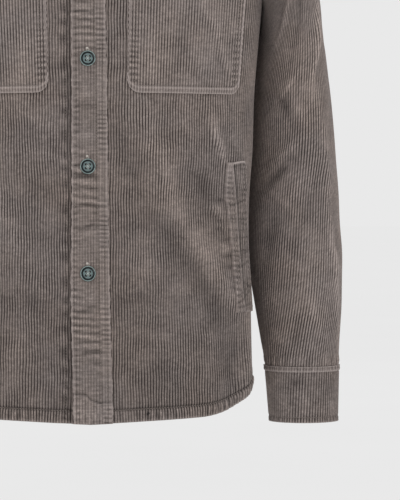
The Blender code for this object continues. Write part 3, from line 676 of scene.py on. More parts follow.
def colourOf(code, alpha=1.0):
    values = [int(code[i : i + 2], 16) / 255 for i in (1, 3, 5)]
    return tuple(v / 12.92 if v <= 0.04045 else ((v + 0.055) / 1.055) ** 2.4 for v in values) + (alpha,)


def addNode(tree, kind, settings=None, **links):
    node = tree.nodes.new(kind)
    for key, value in (settings or {}).items():
        if isinstance(key, int) or key in node.inputs:
            node.inputs[key].default_value = value
        else:
            setattr(node, key, value)
    for key, source in links.items():
        place = int(key[1:]) if key[0] == "i" and key[1:].isdigit() else key.replace("_", " ")
        tree.links.new(source, node.inputs[place])
    return node


def newMaterial(name):
    made = bpy.data.materials.new(name)
    made.use_nodes = True
    return made, made.node_tree, made.node_tree.nodes["Principled BSDF"]


def noiseOf(tree, scale, detail, vector, **settings):
    settings = {"Scale": scale, "Detail": detail, **settings}
    return addNode(tree, "ShaderNodeTexNoise", settings, Vector=vector).outputs["Fac"]


def ranged(tree, value, low, high, start, end, **settings):
    settings = {**settings, 1: low, 2: high, 3: start, 4: end}
    return addNode(tree, "ShaderNodeMapRange", settings, i0=value).outputs[0]


# Two colours mixed by a share; the first may be another node's output
def mixedColour(tree, first, second, share):
    settings, links = {"data_type": "RGBA", 7: colourOf(second)}, {"i0": share}
    if isinstance(first, str):
        settings[6] = colourOf(first)
    else:
        links["i6"] = first
    return addNode(tree, "ShaderNodeMix", settings, **links).outputs[2]


def markOf(tree, name):
    return addNode(tree, "ShaderNodeAttribute", {"attribute_name": name}).outputs["Fac"]


def objectPlace(tree):
    return addNode(tree, "ShaderNodeTexCoord").outputs["Object"]


corduroyLook = {
    "warm": "#8b7f79",  # the nap on a wale
    "cool": "#867c78",
    # painted shade in the grooves between the wales, partly the ground weave's own darker colour
    "grooveShadeColour": "#211c1b",
    "worn": "#b8aca8",
    "patch": 28.0,  # soft patches of 35 mm
    "hue": 9.0,
    "pressed": 34.0,  # where the wales are pressed flat, 30 mm apart
    "slub": 0.0042,  # marks across the wales, in metres along one
    "fibre": 0.0016,  # tufts of 1.6 mm, coarser than the real pile so that they show
}


# Cotton corduroy, cut pile in wales: soft and matt, with painted shade between the wales (partly the ground
# weave's own darker colour) and lighter where it is rubbed; its nap mark paints light and shade on creases
# and puckers
def corduroy(name, grooveShadeShare=1.0):
    look = corduroyLook
    made, tree, shader = newMaterial(name)
    uv = addNode(tree, "ShaderNodeUVMap", {"uv_map": "cloth"}).outputs["UV"]
    place = objectPlace(tree)
    wales = addNode(tree, "ShaderNodeSeparateXYZ", Vector=uv).outputs["X"]
    lining, wear, shade, napAndLightMark = (markOf(tree, mark) for mark in ("lining", "wear", "shade", "napAndLight"))

    def noise(scale, detail, vector, *limits):
        value = noiseOf(tree, scale, detail, vector, Roughness=0.6)
        return value, ranged(tree, value, *limits)

    def maths(operation, *parts):
        settings, links = {"operation": operation}, {}
        for i, part in enumerate(parts):
            if isinstance(part, float):
                settings[i] = part
            else:
                links[f"i{i}"] = part
        return addNode(tree, "ShaderNodeMath", settings, **links).outputs[0]

    # 0 in a groove, 1 on a wale
    apart = maths("ABSOLUTE", maths("SUBTRACT", wales, maths("ROUND", wales)))
    ridge = ranged(tree, apart, 0.05, 0.40, 0.0, 1.0, interpolation_type="SMOOTHSTEP")
    slubPlace, fibrePlace = (
        addNode(tree, "ShaderNodeMapping", {"Scale": (across, 1 / look[mark], 1.0)}, Vector=uv).outputs[0]
        for mark, across in (("slub", 0.5), ("fibre", 1.9))
    )
    slub, slubGain = noise(1.0, 3.0, slubPlace, 0.30, 0.70, 0.76, 1.24)
    fibre, fibreGain = noise(1.0, 2.0, fibrePlace, 0.28, 0.72, 0.78, 1.22)
    patchGain = noise(look["patch"], 4.0, place, 0.30, 0.70, 0.92, 1.08)[1]
    pressedShare = noise(look["pressed"], 2.0, place, 0.40, 0.66, 1.0, 0.55)[1]
    huePull = noise(look["hue"], 3.0, place, 0.40, 0.60, 0.0, 1.0)[1]
    tone = mixedColour(tree, look["cool"], look["warm"], huePull)
    gain = maths("MULTIPLY", maths("MULTIPLY", patchGain, slubGain), fibreGain)
    gain = maths("MULTIPLY", gain, ranged(tree, shade, 0.0, 1.0, 1.0, 0.30))
    # the nap mark paints light and shade: lighter on crests and puckers, darker in hollows, partly the
    # pressed nap
    gain = maths("MULTIPLY", gain, maths("MULTIPLY_ADD", napAndLightMark, 1.4, 1.0))
    pile = addNode(tree, "ShaderNodeVectorMath", {"operation": "SCALE"}, i0=tone, i3=gain).outputs[0]
    worn = mixedColour(tree, pile, look["worn"], wear)
    # painted shade in the grooves: a dark colour mixed in between the wales, partly the ground weave's own,
    # weaker where the wales are pressed flat, on the lining and where rubbed
    depth = maths("MULTIPLY", pressedShare, 0.92 * grooveShadeShare)
    grooveShade = maths("MULTIPLY", maths("SUBTRACT", 1.0, ridge), depth)
    grooveShade = maths("MULTIPLY", grooveShade, maths("SUBTRACT", 1.0, lining))
    grooveShade = maths("MULTIPLY", grooveShade, ranged(tree, wear, 0.0, 0.7, 1.0, 0.1))
    tree.links.new(mixedColour(tree, worn, look["grooveShadeColour"], grooveShade), shader.inputs["Base Color"])
    # the nap's own unevenness
    height = maths("MULTIPLY_ADD", fibre, 0.6, slub)
    relief = addNode(tree, "ShaderNodeBump", {"Strength": 0.5, "Distance": 0.0009}, Height=height)
    tree.links.new(relief.outputs["Normal"], shader.inputs["Normal"])
    shader.inputs["Roughness"].default_value = 0.92
    shader.inputs["Specular IOR Level"].default_value = 0.18
    shader.inputs["Sheen Weight"].default_value = 0.22
    shader.inputs["Sheen Roughness"].default_value = 0.45
    shader.inputs["Sheen Tint"].default_value = colourOf("#cfc8c4")
    return made


pileCloth = corduroy("cotton_corduroy")
trimCloth = corduroy("pressed_corduroy", grooveShadeShare=0.5)


threadLook = {"colour": "#9a8f88", "shadow": "#6d625c", "twist": 0.0009}


# Spun polyester sewing thread: a fine twisted strand, a little brighter and smoother than the pile
def sewingThread(name, colour, shadow):
    made, tree, shader = newMaterial(name)
    twist = noiseOf(tree, 1 / threadLook["twist"], 2.0, objectPlace(tree))
    tree.links.new(mixedColour(tree, shadow, colour, twist), shader.inputs["Base Color"])
    relief = addNode(tree, "ShaderNodeBump", {"Strength": 0.3, "Distance": 0.0002}, Height=twist)
    tree.links.new(relief.outputs["Normal"], shader.inputs["Normal"])
    shader.inputs["Roughness"].default_value = 0.62
    shader.inputs["Specular IOR Level"].default_value = 0.35
    return made


seamThread = sewingThread("spun_polyester_thread", threadLook["colour"], threadLook["shadow"])
buttonThread = sewingThread("button_thread", "#d3dbd8", "#9fa8a6")
holeThread = sewingThread("buttonhole_twist", "#cdc6c0", "#a1988f")
print("materials made")


stitchForm = {"pitch": 0.0032, "length": 0.0025, "radius": 0.00032}


# Frames along a line: where each stitch lies, which way it runs and which way is out
def stitchPlaces(line, normals, pitch):
    lengths = np.concatenate([[0.0], np.cumsum(np.linalg.norm(np.diff(line, axis=0), axis=1))])
    places = np.arange(pitch / 2, lengths[-1], pitch)
    at = lambda values: np.stack([np.interp(places, lengths, values[:, i]) for i in range(3)], axis=1)
    point, normal = at(line), unit(at(normals))
    onward = unit(at(line + np.gradient(line, axis=0)) - point)
    return point, onward, normal


# Ovals that lie along onward, made by doubling one until there are enough
def manyOvals(name, point, onward, normal, length, width, height, segments=(5, 4)):
    mesh = bmesh.new()
    bmesh.ops.create_uvsphere(mesh, u_segments=segments[0], v_segments=segments[1], radius=0.5)
    made = 1
    while made < len(point):
        copied = bmesh.ops.duplicate(mesh, geom=mesh.verts[:] + mesh.edges[:] + mesh.faces[:])["geom"]
        corners = [part for part in copied if isinstance(part, bmesh.types.BMVert)]
        bmesh.ops.translate(mesh, verts=corners, vec=(4 * made, 0, 0))
        made *= 2
    extra = [vertex for vertex in mesh.verts if vertex.co.x > 4 * len(point) - 2]
    bmesh.ops.delete(mesh, geom=extra, context="VERTS")
    made = meshFrom(mesh, name)
    flat = cornersOf(made)
    which = np.rint(flat[:, 0] / 4).astype(int)
    sideways = unit(np.cross(normal, onward))
    up = np.cross(onward, sideways)
    spread = lambda size: np.broadcast_to(np.asarray(size, float), len(point))[which][:, None]
    places = (
        point[which]
        + sideways[which] * spread(width) * (flat[:, :1] - 4 * which[:, None])
        + up[which] * spread(height) * flat[:, 1:2]
        + onward[which] * spread(length) * flat[:, 2:]
    )
    made.vertices.foreach_set("co", places.ravel())
    made.update()
    facesOutwards(made)
    return made


def addStitches(name, lines):
    length, radius = stitchForm["length"], stitchForm["radius"]
    found = [stitchPlaces(line, normals, stitchForm["pitch"]) for line, normals in lines]
    point, onward, normal = (np.concatenate([part[i] for part in found]) for i in range(3))
    made = manyOvals(name, point, onward, normal, length, 2 * radius, 1.6 * radius)
    finishedPiece(made, name, seamThread, sharp=80)


# A line of places on the body, out metres proud of the cloth
def bodyLine(u, z, out, back=False, mirrored=False):
    u, z = np.broadcast_arrays(np.asarray(u, float), np.asarray(z, float))
    turned = mirrorAcross if mirrored else np.ones(3)
    return body(u, z, back, out) * turned, bodyNormal(u, z, back) * turned


# Creases that the photograph shows: where each is, its turn from upright in degrees, its length and
# width, how far it stands out, and how much lighter or darker it is painted: painted light on the
# crests and painted shade in the hollows, partly the pressed nap
creaseColumns = ("u", "height", "turn", "length", "width", "rise", "tone")
panelCreases = {
    "left": (
        (0.082, -0.446, 22, 0.060, 0.009, 0.0022, 0.16),
        (0.130, -0.540, 34, 0.052, 0.010, 0.0026, 0.17),
        (0.176, -0.600, 48, 0.040, 0.010, 0.0022, 0.14),
        (0.044, -0.442, 22, 0.050, 0.012, -0.0020, -0.12),
        (0.095, -0.535, 36, 0.050, 0.013, -0.0026, -0.15),
        (0.143, -0.605, 20, 0.055, 0.012, -0.0024, -0.16),
        (0.150, -0.420, 22, 0.026, 0.0045, 0.0032, 0.36),
        (0.137, -0.482, 24, 0.034, 0.010, -0.0026, -0.20),
        (0.150, -0.500, 30, 0.014, 0.0040, 0.0016, 0.12),
        (0.112, -0.402, 10, 0.030, 0.010, 0.0014, 0.09),
        (0.060, -0.560, 70, 0.018, 0.012, 0.0012, 0.07),
        (0.045, -0.600, 84, 0.040, 0.008, -0.0014, -0.10),
        (0.100, -0.660, 50, 0.040, 0.012, 0.0014, 0.06),
        (0.070, -0.690, -30, 0.036, 0.010, -0.0014, -0.07),
        (0.200, -0.680, -12, 0.050, 0.010, 0.0016, 0.12),
        (0.172, -0.675, -6, 0.050, 0.010, -0.0016, -0.08),
        # short ones that the pocket's stitching draws in
        (0.1600, -0.4925, 86, 0.0100, 0.0030, -0.0012, -0.28),
        (0.1560, -0.5010, 78, 0.0090, 0.0034, 0.0011, 0.16),
        (0.1570, -0.5130, 62, 0.0120, 0.0030, -0.0013, -0.28),
        (0.1620, -0.5205, 66, 0.0090, 0.0030, 0.0011, 0.18),
        (0.1600, -0.5260, 66, 0.0110, 0.0028, -0.0012, -0.24),
        (0.1650, -0.5360, 70, 0.0100, 0.0030, -0.0012, -0.24),
        (0.1660, -0.5440, 70, 0.0090, 0.0030, 0.0010, 0.16),
        (0.1690, -0.5530, 80, 0.0100, 0.0028, -0.0011, -0.24),
        (0.1720, -0.5650, 84, 0.0080, 0.0030, -0.0010, -0.20),
        (0.1760, -0.5900, 86, 0.0080, 0.0030, -0.0010, -0.18),
        (0.0500, -0.4700, 84, 0.0140, 0.0040, 0.0010, 0.12),
        (0.0560, -0.5200, 92, 0.0160, 0.0040, -0.0010, -0.12),
        (0.0900, -0.4300, 88, 0.0150, 0.0040, 0.0009, 0.10),
        (0.1180, -0.4600, 80, 0.0120, 0.0040, -0.0009, -0.10),
        (0.1050, -0.5900, 86, 0.0160, 0.0040, 0.0009, 0.10),
        (0.0750, -0.6300, 92, 0.0160, 0.0040, -0.0010, -0.12),
        (0.1400, -0.6450, 84, 0.0140, 0.0040, 0.0010, 0.12),
    ),
    "right": (
        (0.045, -0.4385, -80, 0.026, 0.0035, 0.0016, 0.18),
        (0.052, -0.403, -52, 0.026, 0.0070, 0.0018, 0.14),
        (0.052, -0.480, -60, 0.030, 0.012, -0.0016, -0.10),
        (0.060, -0.603, -70, 0.020, 0.009, -0.0018, -0.16),
        (0.100, -0.500, -30, 0.060, 0.010, 0.0024, 0.14),
        (0.130, -0.560, -38, 0.050, 0.012, -0.0024, -0.13),
        (0.165, -0.430, -26, 0.034, 0.007, 0.0024, 0.18),
        (0.080, -0.660, 20, 0.050, 0.012, 0.0014, 0.08),
        (0.175, -0.670, 10, 0.050, 0.012, -0.0016, -0.08),
    ),
    "back": (
        (0.060, -0.300, 18, 0.090, 0.012, 0.0026, 0.12),
        (-0.070, -0.320, -16, 0.080, 0.013, 0.0026, 0.12),
        (0.020, -0.420, 8, 0.090, 0.014, -0.0024, -0.10),
        (-0.130, -0.440, -24, 0.070, 0.012, -0.0024, -0.12),
        (0.140, -0.470, 20, 0.080, 0.012, 0.0024, 0.12),
        (0.190, -0.330, 34, 0.050, 0.010, 0.0022, 0.12),
        (-0.195, -0.350, -34, 0.050, 0.010, 0.0022, 0.12),
        (-0.040, -0.600, 6, 0.080, 0.014, 0.0022, 0.10),
        (0.090, -0.640, -8, 0.070, 0.013, -0.0022, -0.09),
    ),
}


def creased(creases, u, z):
    rise, tone = np.zeros(np.shape(u)), np.zeros(np.shape(u))
    for row in creases:
        crease = dict(zip(creaseColumns, row))
        turn = math.radians(crease["turn"])
        du, dz = u - crease["u"], z - crease["height"]
        across = du * math.cos(turn) + dz * math.sin(turn)
        along = dz * math.cos(turn) - du * math.sin(turn)
        across = across + 0.0016 * np.sin(along * 110 + crease["u"] * 300)  # no crease runs quite straight
        share = np.exp(-((across / crease["width"]) ** 2) - (along / crease["length"]) ** 2)
        rise, tone = rise + crease["rise"] * share, tone + crease["tone"] * share
    return rise, tone


# The wales wander a little
def wander(u, z):
    return 0.00045 * np.sin(z * 61 + 3 * np.sin(u * 43)) + 0.0002 * np.sin(z * 190 + u * 90)


panelForm = {
    "hemStep": 0.003,
    "hemBand": 0.024,
    "rowStep": 0.008,
    "frontRowStep": 0.0045,
    "upperRows": 23,
    "stitchAbove": 0.0145,
    "facingLine": 0.0250,
}


def panelLevels(back):
    hem, mid = hemForm["height"], armholeForm["mid"]
    band = hem + panelForm["hemBand"]
    step = panelForm["rowStep" if back else "frontRowStep"]
    lower = np.concatenate([between(hem, band, panelForm["hemStep"]), between(band, mid, step)[1:]])
    return lower, np.linspace(0.0, 1.0, panelForm["upperRows"])


# The turned-up hem: its stitch line pulls in, and the cloth between it and the edge ripples. The ripples are
# painted lighter on their crests and darker in their hollows, and painted shade lies along the stitch line.
def hemRipple(u, level):
    above = level - hemForm["height"]
    line = panelForm["stitchAbove"]
    ripple = np.sin(2 * np.pi * u / 0.0087 + 3.4 * np.sin(u * 47) + 120 * above)
    ripple = ripple * (0.65 + 0.35 * np.sin(u * 83 + 1))
    band = smoothStep((line - above) / 0.004) * smoothStep((above + 0.002) / 0.004)
    pulled = bump(above, line + 0.006, 0.006) * np.sin(2 * np.pi * u / 0.0105 + 2 * np.sin(u * 31))
    rise = 0.0011 * ripple * band - 0.0014 * bump(above, line, 0.0015)
    rise = rise + 0.0010 * bump(above, line - 0.006, 0.005)
    tone = 0.24 * ripple * band + 0.06 * pulled + 0.10 * bump(above, line - 0.004, 0.003)
    return rise + 0.0005 * pulled, tone, 0.85 * bump(above, line + 0.0004, 0.0015)


# The right front's facing is stitched down beside the placket. Its puckers are painted lighter and darker,
# and a painted shadow lies beside the placket's edge.
def facingLine(u, z):
    pull = np.sin(2 * np.pi * z / 0.0058 + 1.5 * np.sin(z * 77))
    at = panelForm["facingLine"]
    line, beside = bump(u, at, 0.0011), bump(u, at + 0.0030, 0.0030)
    tone = (0.45 * line + 0.18 * beside) * pull - 0.18 * bump(u, at - 0.0028, 0.0022)
    return -0.0008 * line + 0.0005 * pull * beside, tone


def panelForms(columns, creases, back=False, tucked=False):
    lower, upper = panelLevels(back)
    u, level = np.meshgrid(columns, lower)
    held = np.clip(columns, -armholeForm["tip"], armholeForm["tip"])
    heldU, share = np.meshgrid(held, upper)
    places = np.vstack([u, heldU])
    heights = np.vstack([lowerHeight(u, level), upperHeight(heldU, share, back)])
    levels = np.vstack([level, np.full_like(heldU, armholeForm["mid"])])
    out = -fabric["tuck"] * lapShare(places) if tucked else 0.0
    edge = halfGirth - np.abs(places)
    inner = np.minimum(edge, places - columns[0] if not back else edge)
    loose = smoothStep(inner / 0.01) * smoothStep((armholeForm["mid"] - heights) / 0.03)
    point = body(places + wander(places, heights) * loose, heights, back, out)
    folds, napAndLight = creased(creases, places, heights)
    folds = folds * smoothStep(edge / 0.02) * smoothStep((heights - hemForm["height"]) / 0.02)
    hemStand, hemTone, hemShade = hemRipple(places, levels)
    rise = hemStand - 0.0006 * bump(edge, 0.0, 0.0015) + folds
    # painted light and shade on the creases and the hem's ripples, and painted shade darker towards the hem
    napAndLight = 1.25 * napAndLight + hemTone - 0.07 * smoothStep((-0.50 - heights) / 0.20)
    if tucked:
        facingRise, facingTone = facingLine(places, heights)
        rise, napAndLight = rise + facingRise, napAndLight + facingTone
    if not back:  # the front stays flat under the placket
        rise = rise - folds * (1 - smoothStep((places - 0.026) / 0.007))
    ridge = smoothStep(edge / 0.003)
    wear = 0.35 * bump(levels - hemForm["height"], 0.0, 0.0022)
    hemShade = hemShade + 0.5 * bump(edge, 0.0, 0.0018)
    normal = bodyNormal(places, heights, back)
    return clothForm(
        point, normal, walesTo(places), heights, fabric["thick"], ridge, rise, wear, hemShade, napAndLight
    )


def addHemStitches(name, first, last, count, **where):
    line = np.linspace(first, last, count)
    height = lowerHeight(line, hemForm["height"] + panelForm["stitchAbove"])
    addStitches(name + "_hem_stitches", [bodyLine(line, height, fabric["thick"] / 2 - 0.0004, **where)])


def addPanels():
    lower, upper = panelLevels(back=False)
    inmost, tip = armholeForm["inmost"], armholeForm["tip"]
    for name, first, mirrored in (
        ("front_left", placketForm["left"], False),
        ("front_right", -placketForm["underlap"], True),
    ):
        columns = waleColumns(first, sideEdge, inmost, tip, neckForm["reach"], onBody=True)
        arm, last = (int(np.argmin(np.abs(columns - place))) for place in (inmost, tip))
        wall = panelWall(name, len(columns), len(lower), (0, last), len(upper), (0, arm))
        form = panelForms(columns, panelCreases[name[6:]], tucked=mirrored)
        piece = clothPiece("corduroy_" + name, wall, form, pileCloth, (name,), mirrored)
        start = 0.002 - placketForm["left"] if mirrored else placketForm["right"] + 0.001
        addHemStitches(name, start, sideEdge - 0.001, 200, mirrored=mirrored)
    half = waleColumns(0.0, sideEdge, inmost, tip, neckForm["reach"], onBody=True)
    columns = np.concatenate([-half[:0:-1], half])
    middle = len(half) - 1
    arm, last = (int(np.argmin(np.abs(half - place))) for place in (inmost, tip))
    lower, upper = panelLevels(back=True)
    span, joined = (middle - last, middle + last), (middle - arm, middle + arm)
    wall = panelWall("back", len(columns), len(lower), span, len(upper), joined)
    form = panelForms(columns, panelCreases["back"], back=True)
    piece = clothPiece("corduroy_back", wall, form, pileCloth, ("back",))
    addHemStitches("back", 0.001 - sideEdge, sideEdge - 0.001, 400, back=True)
    print("front and back panels")


addPanels()


seamForm = {"aside": 0.0055, "shoulderTurn": 0.09}


# Top stitching on the panels, beside the armholes and behind the shoulder seams
def addBodyStitches():
    half = fabric["thick"] / 2 - 0.0002
    u, z = armhole(np.linspace(0.03, 0.97, 160))
    alongU, alongZ = np.gradient(u), np.gradient(z)
    size = np.hypot(alongU, alongZ)
    inU, inZ = u + seamForm["aside"] * alongZ / size, z - seamForm["aside"] * alongU / size
    for back, which in ((False, "front"), (True, "back")):
        lines = [bodyLine(inU, inZ, half, back, mirrored) for mirrored in (False, True)]
        addStitches(which + "_armhole_stitches", lines)
    across = np.linspace(neckForm["reach"] + 0.006, armholeForm["tip"] - 0.008, 60)
    behind = bareBody(across, np.full(60, seamForm["shoulderTurn"]), True)[..., 2]
    lines = [bodyLine(across, behind, half, True, mirrored) for mirrored in (False, True)]
    addStitches("shoulder_stitches", lines)
    print("seams of the body")


addBodyStitches()


placketLook = {
    "rowStep": 0.0016,
    "stitchIn": 0.0052,
    "leftStitchIn": 0.0032,
    "strip": 0.0125,  # the puckered strip inside its right edge
    # how far each edge strays, by height
    "edgeColumns": ("height", "left", "right"),
    "edges": (
        (-0.745, 0.0016, 0.0046),
        (-0.700, 0.0012, 0.0040),
        (-0.600, -0.0014, 0.0020),
        (-0.545, -0.0012, 0.0010),
        (-0.440, 0.0000, -0.0006),
        (-0.330, 0.0004, -0.0026),
        (-0.265, 0.0004, -0.0040),
        (-0.170, 0.0000, 0.0000),
        (0.000, 0.0000, 0.0000),
    ),
    # the turned-up end, across the placket: place and height
    "hemFold": (
        (-0.018, -0.7072),
        (-0.0016, -0.7077),
        (0.0022, -0.7127),
        (0.0117, -0.7162),
        (0.028, -0.7167),
    ),
    "creases": (
        (-0.002, -0.4905, 82, 0.0150, 0.0020, 0.0014, 0.34),
        (-0.002, -0.4945, 82, 0.0150, 0.0022, -0.0012, -0.26),
        (-0.004, -0.4190, 92, 0.0130, 0.0024, 0.0010, 0.20),
        (-0.003, -0.4610, 86, 0.0130, 0.0022, -0.0010, -0.22),
        (0.000, -0.5190, 94, 0.0130, 0.0028, -0.0012, -0.22),
        (0.001, -0.5260, 88, 0.0120, 0.0026, 0.0010, 0.16),
        (-0.004, -0.3850, 84, 0.0110, 0.0030, -0.0010, -0.16),
        (-0.002, -0.3720, 90, 0.0110, 0.0026, 0.0009, 0.14),
        (0.000, -0.6110, 96, 0.0120, 0.0030, -0.0010, -0.18),
        (-0.004, -0.6420, 84, 0.0120, 0.0028, 0.0010, 0.14),
        (0.001, -0.6600, 92, 0.0120, 0.0030, -0.0010, -0.16),
        (0.000, -0.3100, 90, 0.0120, 0.0030, 0.0010, 0.14),
    ),
}


def placketEdges(z):
    look = placketLook
    sides = ("left", "right")
    return [placketForm[side] + lookedUp(look["edges"], look["edgeColumns"], side, z) for side in sides]


def addPlacket():
    look = placketLook
    columns = waleColumns(placketForm["left"], placketForm["right"])
    lower = between(hemForm["height"], armholeForm["mid"], look["rowStep"])
    upper = np.linspace(0.0, 1.0, 24)
    u, level = np.meshgrid(columns, lower)
    upperU, share = np.meshgrid(columns, upper)
    high = upperHeight(upperU, share, False) - placketForm["short"] * smoothStep(2 * share - 1)
    u, z = np.vstack([u, upperU[1:]]), np.vstack([lowerHeight(u, level), high[1:]])
    level = np.vstack([level, 0 * upperU[1:]])
    left, right = placketEdges(z)
    wave = 0.00055 * np.sin(2 * np.pi * z / 0.021 + 2 * np.sin(z * 40))
    wave = wave + 0.0003 * np.sin(2 * np.pi * z / 0.0061)
    share = (u - placketForm["left"]) / (placketForm["right"] - placketForm["left"])
    placed = left + (right - left) * share + wave * (bump(share, 0.0, 0.12) - bump(share, 1.0, 0.12))
    half = fabric["doubled"] / 2
    point = body(placed, z, False, fabric["thick"] / 2 + fabric["laid"] + half)
    fromLeft, fromRight = placed - left, right - placed
    edge = np.minimum(fromLeft, fromRight)
    inside = smoothStep((look["strip"] - fromRight) / 0.003)
    ridge = (0.80 - 0.20 * inside) * smoothStep((edge - 0.0012) / 0.002)
    stitch = bump(fromRight, look["stitchIn"], 0.0010) + bump(fromRight, look["strip"], 0.0010)
    stitch = stitch + bump(fromLeft, look["leftStitchIn"], 0.0009)
    phase = 2 * np.pi * z / 0.0053 + 1.8 * np.sin(z * 96) + 60 * placed
    pull = np.sin(phase) * (0.6 + 0.4 * np.sin(z * 57))
    strip = inside * smoothStep((fromRight + 0.001) / 0.003)
    leftPull = bump(fromLeft, 0.004, 0.004) * np.sin(2 * np.pi * z / 0.0071 + 1.7 * np.sin(z * 66))
    folds, napAndLight = creased(look["creases"], placed, z)
    folds, napAndLight = folds * smoothStep(edge / 0.002), napAndLight * (1 - 0.6 * inside)
    hemStand, hemTone = hemRipple(placed, level)[:2]
    fold = np.interp(placed, *zip(*look["hemFold"]))
    below = smoothStep((fold - z) / 0.0012)
    rise = 0.0010 * pull * strip + 0.0006 * leftPull - 0.0006 * stitch + 0.0005 * bump(edge, 0.0, 0.0011)
    rise = rise + folds + 0.5 * hemStand + 0.0007 * below - 0.0008 * bump(z, fold + 0.0012, 0.0010)
    wear = 0.42 * bump(fromLeft, 0.0010, 0.0013) + 0.30 * bump(fromRight, 0.0010, 0.0011)
    wear = wear + 0.10 * strip + 0.20 * bump(z, fold - 0.0006, 0.0010)
    # short wrinkles across it, in two sizes, painted as light and shade only
    across = np.sin(2 * np.pi * z / 0.0094 + 3 * np.sin(z * 61) + 40 * placed)
    across = across * np.clip(np.sin(z * 37 + 50 * placed), 0, 1)
    finer = np.sin(2 * np.pi * z / 0.0041 + 2.4 * np.sin(z * 103) - 70 * placed)
    across = across + 0.5 * finer * np.sin(z * 71 + 90 * placed)
    # painted light and shade on the puckers, the creases and the wrinkles
    napAndLight = 1.3 * napAndLight + 0.34 * pull * strip + 0.10 * across * inside + 0.20 * leftPull
    napAndLight = napAndLight + 0.26 * across * (1 - inside) - 0.06 + 0.6 * hemTone + 0.10 * below
    stitch = stitch + 2.8 * bump(z, fold + 0.0009, 0.0014)
    normal = bodyNormal(placed, z, False)
    wale = placed / fabric["wale"]
    form = clothForm(point, normal, wale, z, fabric["doubled"], ridge, rise, wear, 0.30 * stitch, napAndLight)
    wall = flatWall("placket", len(columns), u.shape[0])
    piece = clothPiece("corduroy_placket", wall, form, trimCloth, ("placket",))
    down = np.linspace(hemForm["height"] + hemRise(0) + 0.002, -0.105, 400)
    left, right = placketEdges(down)
    out = fabric["thick"] / 2 + fabric["laid"] + fabric["doubled"]
    addStitches(
        "placket_stitches",
        [
            bodyLine(right - look["stitchIn"], down, out),
            bodyLine(right - look["strip"], down, out),
            bodyLine(left + look["leftStitchIn"], down, out),
            bodyLine(panelForm["facingLine"], down, fabric["thick"] / 2 - fabric["tuck"], mirrored=True),
        ],
    )
    print("placket")


addPlacket()


chestPocket = {
    "inner": 0.0435,
    "outer": 0.1780,
    "bottom": -0.370,
    "top": -0.225,
    "corner": 0.014,
    "rowStep": 0.0020,
    "firstLine": 0.0016,
    "secondLine": 0.0078,
    "creases": (
        (0.070, -0.330, 4, 0.030, 0.006, 0.0012, 0.10),
        (0.100, -0.320, -10, 0.040, 0.007, -0.0012, -0.10),
        (0.140, -0.300, 24, 0.040, 0.006, 0.0014, 0.14),
        (0.150, -0.335, 22, 0.024, 0.005, -0.0012, -0.12),
        (0.160, -0.345, 20, 0.020, 0.004, 0.0010, 0.10),
        (0.120, -0.350, 60, 0.020, 0.006, -0.0009, -0.08),
    ),
}


def addChestPockets():
    p = chestPocket
    columns = waleColumns(p["inner"], p["outer"], onBody=True)
    fromEdge = np.minimum(columns - p["inner"], p["outer"] - columns)
    inside = np.clip(1 - fromEdge / p["corner"], 0.0, 1.0)
    bottom = p["bottom"] + p["corner"] * (1 - np.sqrt(1 - inside**2))
    bottom = bottom + 0.0022 * (0.5 - (columns - p["inner"]) / (p["outer"] - p["inner"]))
    share = between(0.0, 1.0, p["rowStep"] / (p["top"] - p["bottom"]))[:, None]
    z = bottom + (p["top"] - bottom) * share
    u = np.broadcast_to(columns, z.shape)
    fromSide = np.minimum(u - p["inner"], p["outer"] - u)
    fromBottom = z - bottom
    edge = np.minimum(fromSide, fromBottom)
    half = fabric["thick"] / 2
    sideWave = bump(u, p["inner"], 0.004) - bump(u, p["outer"], 0.004)
    sideWave = 0.0005 * np.sin(2 * np.pi * z / 0.0068) * sideWave
    point = body(u + sideWave, z, False, half + fabric["laid"] + half)
    line = bump(edge, p["secondLine"], 0.0010) + 0.6 * bump(edge, p["firstLine"] + 0.0006, 0.0007)
    pull = np.sin(2 * np.pi * z / 0.0064 + 1.3 * np.sin(z * 83 + u * 30) + 50 * u)
    pull = pull * (0.6 + 0.4 * np.sin(z * 51))
    strip = smoothStep((0.0165 - fromSide) / 0.007) * smoothStep(fromBottom / 0.012)
    folds, napAndLight = creased(p["creases"], u, z)
    folds = folds * smoothStep(edge / 0.01)
    rise = 0.0009 * pull * strip - 0.0007 * line + 0.0006 * bump(edge, 0.0, 0.0012) + folds
    rise = rise + 0.0005 * bump(fromBottom, p["secondLine"] - 0.0030, 0.0018)
    ridge = smoothStep((edge - 0.0008) / 0.0015) * (1 - 0.4 * strip)
    wear = 0.50 * bump(edge, 0.0006, 0.0012) + 0.05
    wear = wear + 0.42 * bump(fromBottom, p["secondLine"] - 0.0012, 0.0012)
    wear = wear + 0.10 * smoothStep((p["secondLine"] - fromBottom) / 0.002)
    line = line + 0.9 * bump(fromBottom, 0.0030, 0.0009)
    line = line + 0.8 * bump(fromBottom, p["secondLine"] + 0.0009, 0.0009)
    # painted light and shade on the creases and the puckers
    napAndLight = 1.3 * napAndLight + 0.36 * pull * strip + 0.06
    form = clothForm(
        point, bodyNormal(u, z, False), walesTo(u), z, fabric["thick"], ridge, rise, wear, 0.42 * line, napAndLight
    )
    lines = []
    out = fabric["laid"] + 1.5 * fabric["thick"] - 0.0003
    for inwards in (p["firstLine"], p["secondLine"]):
        reach = np.clip(columns, p["inner"] + inwards, p["outer"] - inwards)
        low = np.interp(reach, columns, bottom) + inwards
        keep = np.r_[True, np.diff(reach) > 0]
        side = np.linspace(low[0], p["top"] - 0.002, 60)
        path = [np.stack([np.full(60, reach[0]), side[::-1]], 1), np.stack([reach, low], 1)[keep]]
        lines.append(np.concatenate([*path, np.stack([np.full(60, reach[-1]), side], 1)]))
    for side, mirrored in (("left", False), ("right", True)):
        name = "chest_pocket_" + side
        wall = flatWall(name, len(columns), z.shape[0])
        piece = clothPiece("corduroy_" + name, wall, form, pileCloth, (name,), mirrored)
        stitched = [bodyLine(*path.T, out, mirrored=mirrored) for path in lines]
        addStitches(name + "_stitches", stitched)
    print("chest pockets")


addChestPockets()


